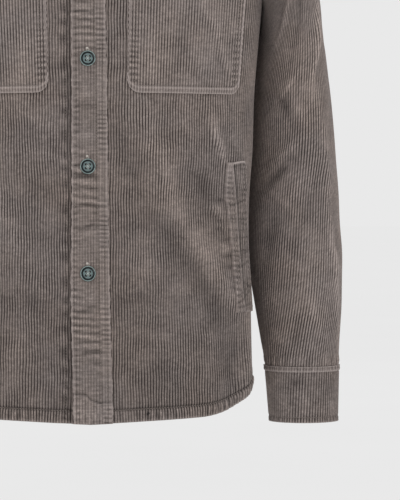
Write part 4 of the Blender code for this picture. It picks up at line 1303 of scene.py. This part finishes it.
handPocket = {
    "columns": 34,
    "rows": 150,
    "wall": 0.0020,
    "corner": 0.009,
    "gap": 0.0014,  # the slit of the mouth
    "pucker": 0.0063,
    # short wrinkles across it: height, tilt and how dark their painted shade is
    "wrinkles": (
        (-0.4790, 0.00, 0.30),
        (-0.4925, 0.20, 0.75),
        (-0.5055, 0.05, 0.30),
        (-0.5120, -0.05, 0.70),
        (-0.5165, -0.12, 0.45),
        (-0.5245, 0.02, 0.50),
        (-0.5330, 0.00, 0.55),
        (-0.5480, 0.06, 0.70),
        (-0.5530, 0.16, 0.45),
        (-0.5660, 0.25, 0.55),
        (-0.5820, -0.30, 0.40),
        (-0.5960, 0.35, 0.45),
        (-0.6040, 0.45, 0.65),
        (-0.6110, 0.10, 0.50),
    ),
    "placeColumns": ("height", "strip", "mouth", "outer"),
    "places": (
        (-0.6200, 0.1815, 0.1985, 0.2300),
        (-0.6030, 0.1800, 0.1960, 0.2270),
        (-0.5740, 0.1772, 0.1930, 0.2222),
        (-0.5550, 0.1752, 0.1908, 0.2190),
        (-0.5290, 0.1718, 0.1872, 0.2143),
        (-0.5140, 0.1692, 0.1858, 0.2117),
        (-0.4790, 0.1638, 0.1802, 0.2055),
        (-0.4475, 0.1655, 0.1725, 0.2000),
    ),
}


# The pocket's mouth is a slit between the front's stitched edge and the welt behind it
def addHandPockets():
    p = handPocket
    low, high = p["places"][0][0] + 0.002, p["places"][-1][0]
    across, down = np.meshgrid(np.linspace(0.0, 1.0, p["columns"]), np.linspace(1.0, 0.0, p["rows"]))
    for piece, first, last, wall, cloth in (
        ("hand_pocket_welt", "mouth", "outer", p["wall"], pileCloth),
        ("hand_pocket_edge", "strip", "mouth", p["wall"] + 0.0006, trimCloth),
    ):
        z = high + (low - high) * down
        start, end = (lookedUp(p["places"], p["placeColumns"], name, z) for name in (first, last))
        onStrip = last == "mouth"
        end = end - p["gap"] * onStrip * smoothStep(down / 0.03) * smoothStep((0.95 - down) / 0.04)
        u = start + (end - start) * across
        if not onStrip:  # the outer top corner is taken off
            z = z + (0.0030 * across - p["corner"] * across**9) * (1 - down) ** 6
        fromEnd = np.minimum(down, 1 - down) * (high - low)
        fromSide = np.minimum(across, 1 - across) * (end - start)
        edge = np.minimum(fromSide, fromEnd)
        point = body(u, z, False, fabric["thick"] / 2 + fabric["laid"] + wall / 2)
        pull = np.sin(2 * np.pi * z / p["pucker"] + 1.5 * np.sin(z * 80) + 90 * u)
        pull = pull * (0.65 + 0.35 * np.sin(z * 63))
        wrinkles = np.zeros_like(z)
        for height, tilt, depth in p["wrinkles"]:
            centre = height + tilt * (u - 0.19) + 0.0006 * np.sin(u * 700)
            wrinkles = wrinkles + depth * bump(z, centre, 0.0011)
        if onStrip:
            line = bump(fromSide, 0.0045, 0.0010)
            rise = 0.0010 * pull * smoothStep(edge / 0.002) - 0.0006 * line + 0.0006 * bump(across, 0.9, 0.15)
            wear = 0.02 + 0.26 * bump(across, 0.95, 0.10) + 0.20 * bump(across, 0.0, 0.12)
            wear = wear + 0.30 * bump(down, 0.0, 0.12)
            # painted shade in the wrinkles, and painted light and shade on the puckers
            shade, napAndLight, ridge = 0.35 * line + wrinkles, 0.16 * pull, 0.5
        else:
            fromTop = down * (high - low)
            bar = smoothStep((down - 0.93) / 0.03)
            fold = bump(across, 0.45, 0.10) * np.sin(2 * np.pi * z / 0.034)
            rise = 0.0007 * pull * bump(across, 1.0, 0.4) + 0.0008 * fold + 0.0008 * bar * pull
            rise = rise - 0.0009 * wrinkles * bump(across, 0.45, 0.55)
            rise = rise * smoothStep(edge / 0.002) + 0.0004 * bump(edge, 0.0, 0.0011)
            wear = 0.40 * bump(fromEnd, 0.0006, 0.0012) * (across < 0.8) + 0.35 * bump(across, 1.0, 0.05)
            wear = wear + 0.55 * bump(fromTop, 0.0010, 0.0012) * (across < 0.9)
            shade = 0.75 * bump(across, 0.03, 0.07) + 0.5 * bump(fromTop, 0.0042, 0.0010) * (across < 0.8)
            shade = shade + 1.1 * wrinkles * bump(across, 0.40, 0.55)
            shade = shade + 0.5 * bump(across, 0.80, 0.06) * (0.6 + 0.4 * pull)
            # painted light and shade on the puckers and the fold
            napAndLight, ridge = 0.22 * pull * bump(across, 0.9, 0.4) + 0.14 * fold, 0.9
        ridge = ridge * smoothStep((edge - 0.0006) / 0.0015)
        form = clothForm(point, bodyNormal(u, z, False), walesTo(u), z, wall, ridge, rise, wear, shade, napAndLight)
        for side, mirrored in (("left", False), ("right", True)):
            name = f"{piece}_{side}"
            nodes = () if onStrip else (name,)
            wall = flatWall(name, p["columns"], p["rows"])
            made = clothPiece("corduroy_" + name, wall, form, cloth, nodes, mirrored)
    print("hand pockets")


addHandPockets()


sleeveCut = {
    "rowsPerPart": 9,
    "cuffSeamStep": 0.029,
    "round": 0.062,  # metres for each radian round, and down for each row
    "down": 0.078,
    "frontCreases": (
        (0.069, -0.281, 16, 0.055, 0.0060, 0.0032, 0.26),
        (0.044, -0.570, -7, 0.110, 0.0055, 0.0026, 0.17),
        (0.062, -0.400, -10, 0.050, 0.0060, 0.0020, 0.10),
        (0.118, -0.312, 60, 0.014, 0.0040, 0.0026, 0.32),
        (0.128, -0.336, -40, 0.018, 0.0050, -0.0028, -0.26),
        (0.104, -0.350, -50, 0.016, 0.0045, 0.0024, 0.20),
        (0.136, -0.425, 56, 0.026, 0.0060, -0.0032, -0.26),
        (0.120, -0.395, 56, 0.026, 0.0055, 0.0026, 0.17),
        (0.112, -0.452, 40, 0.020, 0.0060, 0.0020, 0.10),
        (0.090, -0.480, 20, 0.050, 0.0080, -0.0020, -0.10),
        (0.140, -0.520, 10, 0.050, 0.0090, -0.0020, -0.12),
        (0.080, -0.640, -14, 0.050, 0.0080, 0.0020, 0.09),
        (0.110, -0.690, 10, 0.040, 0.0080, -0.0018, -0.10),
        (0.030, -0.320, 8, 0.050, 0.0070, -0.0018, -0.08),
        (0.095, -0.215, 24, 0.045, 0.0080, -0.0022, -0.12),
        (0.120, -0.190, 30, 0.040, 0.0070, 0.0024, 0.13),
        (0.050, -0.150, 12, 0.050, 0.0080, 0.0020, 0.08),
    ),
    "backCreases": (
        (-0.060, -0.330, -24, 0.040, 0.0070, 0.0028, 0.15),
        (-0.100, -0.370, 60, 0.024, 0.0060, -0.0028, -0.20),
        (-0.085, -0.410, 50, 0.026, 0.0060, 0.0026, 0.15),
        (-0.050, -0.520, 10, 0.070, 0.0070, 0.0022, 0.12),
        (-0.110, -0.560, -12, 0.050, 0.0080, -0.0022, -0.12),
        (-0.040, -0.200, -14, 0.050, 0.0080, 0.0022, 0.12),
        (-0.090, -0.240, -20, 0.050, 0.0080, -0.0022, -0.12),
        (-0.070, -0.680, 8, 0.040, 0.0080, 0.0018, 0.10),
    ),
}
cuffForm = {
    "wall": 0.0032,
    "proud": 0.0018,
    "rows": 46,
    "height": 0.065,
    "seamBand": 0.0080,
    "stitchUp": 0.0060,
    "topStitch": 0.0022,
    "slitTurn": -128,  # degrees round, where the cuff laps over itself and buttons
    # rubbed and pressed places: degrees round, metres down, how wide, how deep, how much lighter
    "marks": (
        (92, 0.040, 7, 0.020, 0.16),
        (104, 0.020, 7, 0.004, -0.34),
        (60, 0.034, 10, 0.010, -0.07),
        (128, 0.046, 10, 0.012, 0.08),
        (40, 0.050, 9, 0.010, 0.08),
    ),
}


# Wale columns round a sleeve, counted from its outer edge. Where it narrows, the seam under the arm
# takes them in
def roundSleeve(rows):
    turns = np.linspace(0.0, math.pi, 121)
    step = fabric["wale"] / fabric["columnsPerWale"]
    halves = []
    for way in (-1.0, 1.0):
        ring = bareSleeve(rows[:, None], way * turns[None, :])
        halves.append(alongColumn(ring.swapaxes(0, 1)).T)
    behind, before = (math.ceil(half[:, -1].max() / step) for half in halves)
    apart = np.arange(-behind, before + 1) * step
    around, fromSeam = np.zeros((2, len(rows), len(apart)))
    for i in range(len(rows)):
        for half, way, chosen in ((halves[0], -1.0, apart < 0), (halves[1], 1.0, apart >= 0)):
            around[i, chosen] = way * np.interp(np.abs(apart[chosen]), half[i], turns)
            fromSeam[i, chosen] = np.maximum(half[i, -1] - np.abs(apart[chosen]), 0)
    return around, fromSeam, np.broadcast_to(apart, around.shape)


def addSleeves():
    last = sleeveForm["cuffRow"] - fabric["seam"] / sleeveCut["cuffSeamStep"]
    rows = np.linspace(0.0, last, sleeveForm["cuffRow"] * sleeveCut["rowsPerPart"] + 1)
    around, fromSeam, apart = roundSleeve(rows)
    row = np.broadcast_to(rows[:, None], around.shape)
    point, normal = sleeve(row, around)
    ridge = smoothStep(fromSeam / 0.004)
    creases = sleeveCut["frontCreases"] + sleeveCut["backCreases"]
    folds, napAndLight = creased(creases, around * sleeveCut["round"], -row * sleeveCut["down"])
    folds = folds * smoothStep((row - 0.8) / 1.0) * smoothStep((9.9 - row) / 0.5)
    folds = folds * smoothStep(fromSeam / 0.01)
    gather = bump(row, 9.86, 0.12) * np.sin(2 * np.pi * apart / 0.0127 + 2 * np.sin(apart * 60))
    rise = folds + 0.0010 * gather - 0.0006 * bump(fromSeam, 0.0, 0.0016)
    # painted light and shade on the creases and the gathers, and painted light over the whole sleeve
    napAndLight = 1.8 * napAndLight + 0.09 * gather + 0.12
    wale, down = apart / fabric["wale"], -alongColumn(point)
    form = clothForm(point, normal, wale, down, fabric["thick"], ridge, rise, napAndLight=napAndLight)
    for side, mirrored in (("left", False), ("right", True)):
        name = "sleeve_" + side
        wall = tubeWall(name, around.shape[1], len(rows))
        piece = clothPiece("corduroy_" + name, wall, form, pileCloth, (name,), mirrored, closeSeam=True)
    print("sleeves")


addSleeves()


def addCuffs():
    c = cuffForm
    rows = np.linspace(sleeveForm["cuffRow"], sleeveForm["cuffEdgeRow"], c["rows"])
    around, fromSeam, apart = roundSleeve(rows)
    row = np.broadcast_to(rows[:, None], around.shape)
    point, normal = sleeve(row, around)
    metres = (row - sleeveForm["cuffRow"]) * c["height"]
    fromEdge = c["height"] - metres
    degrees = np.degrees(around)
    band = smoothStep((c["seamBand"] - metres) / 0.0012)
    lines = bump(fromEdge, c["stitchUp"], 0.0010) + bump(metres, c["topStitch"], 0.0008)
    lines = lines + 0.8 * bump(metres, c["seamBand"] + 0.0004, 0.0009)
    lap = smoothStep((degrees - c["slitTurn"]) / 1.2) * smoothStep((c["slitTurn"] + 40 - degrees) / 12)
    slit = bump(degrees, c["slitTurn"] - 0.8, 0.9)
    ripple = np.sin(2 * np.pi * apart / 0.0068 + 2 * np.sin(apart * 45))
    pressed, napAndLight = np.zeros(row.shape), np.zeros(row.shape)
    for turn, down, wide, deep, tone in c["marks"]:
        share = bump(degrees, turn, wide) * bump(metres, down, deep)
        pressed, napAndLight = pressed + share, napAndLight + tone * share
    ridge = smoothStep(fromSeam / 0.004) * (1 - 0.5 * band) * np.clip(1 - 0.8 * pressed, 0, 1)
    rise = 0.0008 * band - 0.0006 * lines + 0.0004 * bump(fromEdge, 0.0, 0.0012)
    rise = rise + 0.0004 * ripple * (band + bump(fromEdge, 0.003, 0.003)) + 0.0006 * lap - 0.0010 * slit
    wear = 0.45 * bump(fromEdge, 0.0002, 0.0011) + 0.5 * bump(metres, c["seamBand"] - 0.0010, 0.0011)
    wear = wear + 0.16 * band + 0.4 * bump(metres, 0.0, 0.0010)
    # painted light and shade on the ripples
    napAndLight = napAndLight + 0.12 * ripple * (band + bump(fromEdge, 0.003, 0.003))
    shade = 0.4 * lines + 0.8 * slit
    wale = apart / fabric["wale"]
    form = clothForm(point, normal, wale, -metres, 2 * c["proud"], ridge, rise, wear, shade, napAndLight)
    form["inner"] = np.full(row.shape, c["wall"] - c["proud"])
    turns = np.linspace(-math.pi, math.pi, 300)
    stitched = []
    for down in (c["height"] - c["stitchUp"], c["topStitch"], c["seamBand"] - 0.0022):
        line, way = sleeve(np.full(300, sleeveForm["cuffRow"] + down / c["height"]), turns)
        proud = c["proud"] + (0.0008 if down < c["seamBand"] else 0.0) - 0.0003
        stitched.append((line + way * proud, way))
    for side, mirrored in (("left", False), ("right", True)):
        name = "cuff_" + side
        wall = tubeWall(name, around.shape[1], len(rows))
        piece = clothPiece("corduroy_" + name, wall, form, pileCloth, (name,), mirrored, closeSeam=True)
        turned = mirrorAcross if mirrored else np.ones(3)
        addStitches(name + "_stitches", [(line * turned, way * turned) for line, way in stitched])
    print("cuffs")


addCuffs()


def smoothLine(values, lengths, places):
    table = np.column_stack([lengths, values])
    return np.stack([lookedUp(table, ("length", "x", "y", "z"), name, places) for name in "xyz"], axis=-1)


def lengthsOf(line):
    return np.concatenate([[0.0], np.cumsum(np.linalg.norm(np.diff(line, axis=0), axis=1))])


def addCollarStand():
    rows, outward = standRows()
    lengths = lengthsOf(rows[0])
    places = waleColumns(0.0, lengths[-1])
    foot, top = (smoothLine(line, lengths, places) for line in (rows[0], rows[-1]))
    way = unit(smoothLine(outward, lengths, places))
    share = np.linspace(0.0, 1.0, 12)[:, None, None]
    point = foot + (top - foot) * share
    normal = np.broadcast_to(way, point.shape)
    edge = np.minimum(share[..., 0], 1 - share[..., 0]) * standForm["height"] + 0 * places
    rise = 0.0003 * bump(edge, 0.0, 0.0012) - 0.0004 * bump(edge, 0.0045, 0.001)
    wale, up, wear = places / fabric["wale"], share[..., 0] * 0.033, 0.3 * bump(edge, 0, 0.0012)
    form = clothForm(point, normal, wale, up, fabric["doubled"], 0.6, rise, wear)
    wall = flatWall("collar_stand", len(places), 12)
    piece = clothPiece("corduroy_collar_stand", wall, form, trimCloth, ("collar_stand",))
    line = foot + (top - foot) * 0.14 + way * (fabric["doubled"] / 2 - 0.0003)
    addStitches("collar_stand_stitches", [(line, way)])
    print("collar stand")


addCollarStand()


def addCollar():
    rows, outward = standRows()
    lengths = lengthsOf(rows[-1])
    first, last = lengths[1], lengths[-4]
    places = waleColumns(first, last)
    top = smoothLine(rows[-1], lengths, places)
    way = unit(smoothLine(outward, lengths, places))
    edge = collarEdge((places - first) / (last - first))
    up = np.array([0.0, 0.0, 1.0])
    roll = collarForm["roll"]
    centre = top + way * roll + up * fabric["doubled"]
    sections = [top + up * (fabric["doubled"] / 4)]
    for degrees in np.linspace(180, 0, 9):
        turn = math.radians(degrees)
        sections.append(centre + way * roll * math.cos(turn) + up * roll * math.sin(turn))
    start = sections[-1]
    for part in np.linspace(0.0, 1.0, 29)[1:]:
        swell = collarForm["bulge"] * math.sin(math.pi * part)
        sections.append(start + (edge - start) * part + (way + up) * swell)
    point = np.array(sections)
    down, onward = np.gradient(point, axis=0), np.gradient(point, axis=1)
    normal = unit(np.cross(down, onward))
    normal[0] = -way
    if np.sum(normal[-1] * way) < 0:
        normal[1:] = -normal[1:]
        normal[0] = -way
    metres = alongColumn(point)
    fromEdge = np.minimum(metres[-1] - metres, np.minimum(places - first, last - places))
    line = bump(fromEdge, 0.006, 0.001)
    rise = 0.0004 * bump(fromEdge, 0.0, 0.0014) - 0.0004 * line
    ridge = 0.8 * smoothStep((fromEdge - 0.0008) / 0.0015)
    wear = 0.45 * bump(fromEdge, 0.0, 0.0013)
    wale, shade = places / fabric["wale"], 0.3 * line
    form = clothForm(point, normal, wale, metres, fabric["doubled"], ridge, rise, wear, shade)
    wall = flatWall("collar", len(places), point.shape[0])
    piece = clothPiece("corduroy_collar", wall, form, trimCloth, ("collar",))
    # stitched 6 mm inside its edge, down one front edge, round and up the other
    stitchAt = np.clip(places, first + 0.006, last - 0.006)
    keep = [int(np.argmin(np.abs(places - place))) for place in (stitchAt[0], stitchAt[-1])]
    rowAt = [int(np.argmin(np.abs(metres[-1, i] - metres[:, i] - 0.006))) for i in range(len(places))]
    proud = point + normal * (fabric["doubled"] / 2 - 0.0003)
    start = len(point) - 28
    leftEnd, rightEnd = keep
    path = [(row, leftEnd) for row in range(start, rowAt[leftEnd])]
    path = path + [(rowAt[i], i) for i in range(leftEnd, rightEnd + 1)]
    path = path + [(row, rightEnd) for row in range(rowAt[rightEnd], start, -1)]
    line = np.array([proud[row, i] for row, i in path])
    smooth = line.copy()
    smooth[1:-1] = (line[:-2] + line[1:-1] + line[2:]) / 3
    addStitches("collar_stitches", [(smooth, np.array([normal[row, i] for row, i in path]))])
    print("collar")


addCollar()


buttonForm = {
    "radius": 0.0088,
    "cuffRadius": 0.0075,
    "spacing": 0.120,
    "lowest": -0.571,
    "cuffTurn": -112,
    "sides": 36,
    "hole": 0.16,  # shares of the radius, as all below but the heights
    "holeReach": 0.34,
    "profile": (
        # share of the radius, and metres up from its back
        (0.64, 0.0021),
        (0.69, 0.0013),
        (0.80, 0.0012),
        (0.86, 0.0026),
        (0.92, 0.0029),
        (0.97, 0.0023),
        (1.00, 0.0014),
        (0.97, 0.0004),
        (0.80, 0.0),
    ),
}


# share of the radius and colour: the dark ring in the groove is partly the cast's own and partly painted
# shade, the light band on the rim's top is a painted highlight, and the holes' floors take the ring's colour
# as painted shade
buttonColourAndShading = (
    (0.0, "#6d7c79"),
    (0.60, "#5c6d6e"),
    (0.68, "#0a1011"),
    (0.82, "#0c1314"),
    (0.87, "#5a6c6d"),
    (0.93, "#96a5a2"),
    (1.0, "#414f50"),
)


# Polyester cast as horn: dark teal with a cloudy grain and gloss; its colours by reach hold a painted
# highlight on the rim and painted shade in the groove and the holes
def castPolyester():
    made, tree, shader = newMaterial("cast_polyester_horn")
    ramp = addNode(tree, "ShaderNodeValToRGB", i0=markOf(tree, "reach"))
    stops = ramp.color_ramp.elements
    for i, (share, code) in enumerate(buttonColourAndShading):
        stop = stops[i] if i < 2 else stops.new(share)
        stop.position = share
        stop.color = colourOf(code)
    cloud = noiseOf(tree, 420.0, 3.0, objectPlace(tree), Distortion=0.8)
    gain = ranged(tree, cloud, 0.3, 0.7, 0.70, 1.30)
    tone = addNode(tree, "ShaderNodeVectorMath", {"operation": "SCALE"}, i0=ramp.outputs["Color"], i3=gain)
    tree.links.new(tone.outputs[0], shader.inputs["Base Color"])
    tree.links.new(ranged(tree, cloud, 0.3, 0.7, 0.24, 0.42), shader.inputs["Roughness"])
    shader.inputs["IOR"].default_value = 1.54
    return made


buttonCast = castPolyester()


# A four-hole button with its back on the origin and its face up +Z
def buttonMesh(radius):
    mesh = bmesh.new()
    sides, profile = buttonForm["sides"], buttonForm["profile"]
    bmesh.ops.create_circle(mesh, segments=sides, radius=radius * profile[0][0])
    away = radius * buttonForm["holeReach"] / math.sqrt(2)
    for x in (-away, away):
        for y in (-away, away):
            place = Matrix.Translation((x, y, 0))
            bmesh.ops.create_circle(mesh, segments=10, radius=radius * buttonForm["hole"], matrix=place)
    bmesh.ops.triangle_fill(mesh, use_beauty=True, use_dissolve=False, edges=mesh.edges[:])
    bmesh.ops.translate(mesh, verts=mesh.verts[:], vec=(0, 0, profile[0][1]))
    openEdges = [edge for edge in mesh.edges if edge.is_boundary]
    rim = [edge for edge in openEdges if all(v.co.xy.length > radius * 0.5 for v in edge.verts)]
    holes = [edge for edge in openEdges if edge not in rim]
    for (share, height), (nextShare, nextHeight) in zip(profile, profile[1:]):
        made = bmesh.ops.extrude_edge_only(mesh, edges=rim)["geom"]
        rim = [part for part in made if isinstance(part, bmesh.types.BMEdge)]
        corners = [part for part in made if isinstance(part, bmesh.types.BMVert)]
        bmesh.ops.scale(mesh, verts=corners, vec=(nextShare / share, nextShare / share, 1))
        bmesh.ops.translate(mesh, verts=corners, vec=(0, 0, nextHeight - height))
    made = bmesh.ops.extrude_edge_only(mesh, edges=holes)["geom"]
    corners = [part for part in made if isinstance(part, bmesh.types.BMVert)]
    bmesh.ops.translate(mesh, verts=corners, vec=(0, 0, 0.0003 - profile[0][1]))
    floors = [part for part in made if isinstance(part, bmesh.types.BMEdge)]
    bmesh.ops.triangle_fill(mesh, use_beauty=True, use_dissolve=False, edges=floors)
    bmesh.ops.triangle_fill(mesh, use_beauty=True, use_dissolve=False, edges=rim)
    bmesh.ops.recalc_face_normals(mesh, faces=mesh.faces[:])
    return mesh


# Where a button lies: its back's middle, the way out of the cloth, and up along the cloth
def addButton(name, centre, axis, radius, mirrored=False, hole=True):
    turned = mirrorAcross if mirrored else np.ones(3)
    centre, axis = Vector(centre * turned), Vector(axis * turned).normalized()
    side = Vector((0, 0, 1)).cross(axis).normalized()
    up = axis.cross(side)
    frame = Matrix((side, up, axis)).transposed().to_4x4()
    frame.translation = centre
    made = meshFrom(buttonMesh(radius), name)
    flat = cornersOf(made)
    reach = np.hypot(flat[:, 0], flat[:, 1]) / radius
    away = buttonForm["holeReach"] / math.sqrt(2)
    fromHole = np.hypot(*(np.abs(flat[:, i]) / radius - away for i in range(2)))
    inHole = fromHole < 1.05 * buttonForm["hole"]
    # painted shade: the holes' floors take the dark ring's colour
    reach = np.where(inHole & (flat[:, 2] < 0.001), 0.75, reach)
    made.attributes.new("reach", "FLOAT", "POINT").data.foreach_set("value", reach.astype(np.float32))
    made.transform(frame)
    piece = finishedPiece(made, "cast_" + name, buttonCast, (name,), sharp=60)
    # two strands cross between the holes, each of them doubled
    top = buttonForm["profile"][0][1] + 0.0002
    reachOut = radius * buttonForm["holeReach"]
    point, onward = [], []
    for x, y in ((1, 1), (1, -1)):
        for shift in (-0.00025, 0.00025):
            way = Vector((x, y, 0)).normalized()
            aside = Vector((-way.y, way.x, 0)) * shift
            point.append(frame @ (aside + Vector((0, 0, top + (0.0003 if y < 0 else 0)))))
            onward.append(frame.to_3x3() @ way)
    count = len(point)
    normal = np.repeat(np.array([axis]), count, axis=0)
    point, onward, size = np.array(point), np.array(onward), (2 * reachOut - 0.0004, 0.00050, 0.0009)
    made = manyOvals(name + "_thread", point, onward, normal, *size, (6, 6))
    thread = finishedPiece(made, name + "_thread", buttonThread, sharp=80)
    if hole:  # the worked buttonhole runs up the placket, and its end shows over the button
        bars = (
            # sideways and up from the middle, length and width
            (-0.0009, 0.0026, 0.0190, 0.0011),
            (0.0009, 0.0026, 0.0190, 0.0011),
            (-0.0008, 0.0112, 0.0028, 0.0030),
            (0.0, -0.0070, 0.0024, 0.0026),
        )
        spots = np.array([frame @ Vector((x, y, 0.0003)) for x, y, long, wide in bars])
        ways = np.repeat(np.array([up]), len(bars), axis=0)
        normals = np.repeat(np.array([axis]), len(bars), axis=0)
        sizes = np.array([bar[2:] for bar in bars])
        made = manyOvals(name + "_hole", spots, ways, normals, sizes[:, 0], sizes[:, 1], 0.0014, (8, 10))
        napAndLightMark = finishedPiece(made, name + "_buttonhole", holeThread, sharp=80)


def addButtons():
    b = buttonForm
    out = fabric["thick"] / 2 + fabric["laid"] + fabric["doubled"] + fabric["seam"]
    for i in range(4):
        z = b["lowest"] + b["spacing"] * i
        addButton(f"button_{i + 1}", body(0.0, z, False, out), bodyNormal(0.0, z, False), b["radius"])
    rows, outward = standRows()
    middle = rows[1][1] + outward[1] * (fabric["doubled"] / 2 + fabric["seam"])
    addButton("button_5", middle, outward[1], b["radius"])
    centre, axis = sleeve(sleeveForm["cuffRow"] + 0.5, math.radians(b["cuffTurn"]))
    centre = centre + axis * (cuffForm["proud"] + fabric["seam"] + 0.0006)
    addButton("cuff_button_left", centre, axis, b["cuffRadius"], hole=False)
    addButton("cuff_button_right", centre, axis, b["cuffRadius"], True, hole=False)
    print("buttons")


addButtons()


# A dark scrap of thread caught in the hem
def addSpeck():
    point, normal = bodyLine([0.0666], [-0.7280], fabric["thick"] / 2 + 0.0022)
    onward = unit(np.array([[0.35, 0.0, 1.0]]))
    made = manyOvals("hem_speck", point, onward, normal, 0.0040, 0.0027, 0.0018, (8, 6))
    piece = finishedPiece(made, "hem_speck", sewingThread("dark_thread_end", "#17110f", "#0a0706"), sharp=80)


addSpeck()


stageForm = {"floor": -0.95, "size": 14.0, "squares": 8}


# A pale studio floor. There is no wall, so that the object shows from every side
def addStage():
    s = stageForm
    mesh = bmesh.new()
    place = Matrix.Translation((0, 0, s["floor"]))
    squares = s["squares"]
    bmesh.ops.create_grid(mesh, x_segments=squares, y_segments=squares, size=s["size"], matrix=place)
    sheet = meshFrom(mesh, "floor")
    sheet.shade_smooth()
    # a roll of pale studio paper, even and without gloss
    paper, tree, shader = newMaterial("matt_paper")
    grain = noiseOf(tree, 3.0, 2.0, objectPlace(tree))
    tone = mixedColour(tree, "#e8e8e8", "#eaeaea", grain)
    shader.inputs["Base Color"].default_value = colourOf("#1e1e1e")  # dark, or the lamps' falloff would show
    tree.links.new(tone, shader.inputs["Emission Color"])
    shader.inputs["Emission Strength"].default_value = 0.983
    shader.inputs["Roughness"].default_value = 1.0
    shader.inputs["Specular IOR Level"].default_value = 0.0
    sheet.materials.append(paper)
    floor = bpy.data.objects.new("floor", sheet)
    bpy.context.scene.collection.objects.link(floor)


addStage()


cameraForm = {"place": (0.0, -4.0, -0.40), "target": (0.1288, 0.0, -0.5492), "lens": 250.7}
lights = {
    # name: place, what it faces, size, watts
    "key": ((-0.7, -1.9, 1.6), (0.05, 0.0, -0.20), 1.2, 21),
    "front": ((1.8, -3.6, 0.4), (0.25, 0.0, -0.40), 1.6, 32),
    "side": ((3.2, -0.9, 0.2), (0.2, 0.0, -0.5), 1.4, 12),
    "otherSide": ((-3.2, -0.6, 0.3), (-0.2, 0.0, -0.4), 1.4, 16),
    "back": ((0.6, 3.6, 0.9), (0.0, 0.0, -0.35), 1.8, 44),
    "top": ((0.0, 0.4, 2.6), (0.0, 0.0, -0.3), 1.6, 18),
}


def aimed(thing, place, target):
    thing.location = place
    thing.rotation_euler = (Vector(target) - Vector(place)).to_track_quat("-Z", "Y").to_euler()
    bpy.context.scene.collection.objects.link(thing)


def addCameraAndLights():
    scene = bpy.context.scene
    data = bpy.data.cameras.new("camera")
    data.lens = cameraForm["lens"]
    data.sensor_width = 36
    data.sensor_fit = "AUTO"
    camera = bpy.data.objects.new("camera", data)
    aimed(camera, cameraForm["place"], cameraForm["target"])
    scene.camera = camera
    for name, (place, target, size, watts) in lights.items():
        data = bpy.data.lights.new(name, "AREA")
        data.size = size
        data.energy = watts
        aimed(bpy.data.objects.new(name, data), place, target)
    # soft light from all round; straight behind the object it shows as the floor's pale grey
    world = bpy.data.worlds.new("studio")
    world.use_nodes = True
    tree = world.node_tree
    around = tree.nodes["Background"]
    around.inputs["Color"].default_value = colourOf("#e8e8e8")
    around.inputs["Strength"].default_value = 0.50
    behind = addNode(tree, "ShaderNodeBackground", {"Color": colourOf("#e9e9e9"), "Strength": 1.0}).outputs[0]
    seen = addNode(tree, "ShaderNodeLightPath").outputs["Is Camera Ray"]
    either = addNode(tree, "ShaderNodeMixShader", i0=seen, i1=around.outputs[0], i2=behind).outputs[0]
    tree.links.new(either, tree.nodes["World Output"].inputs["Surface"])
    scene.world = world
    scene.view_settings.view_transform = "Standard"
    print("camera and lights")


addCameraAndLights()
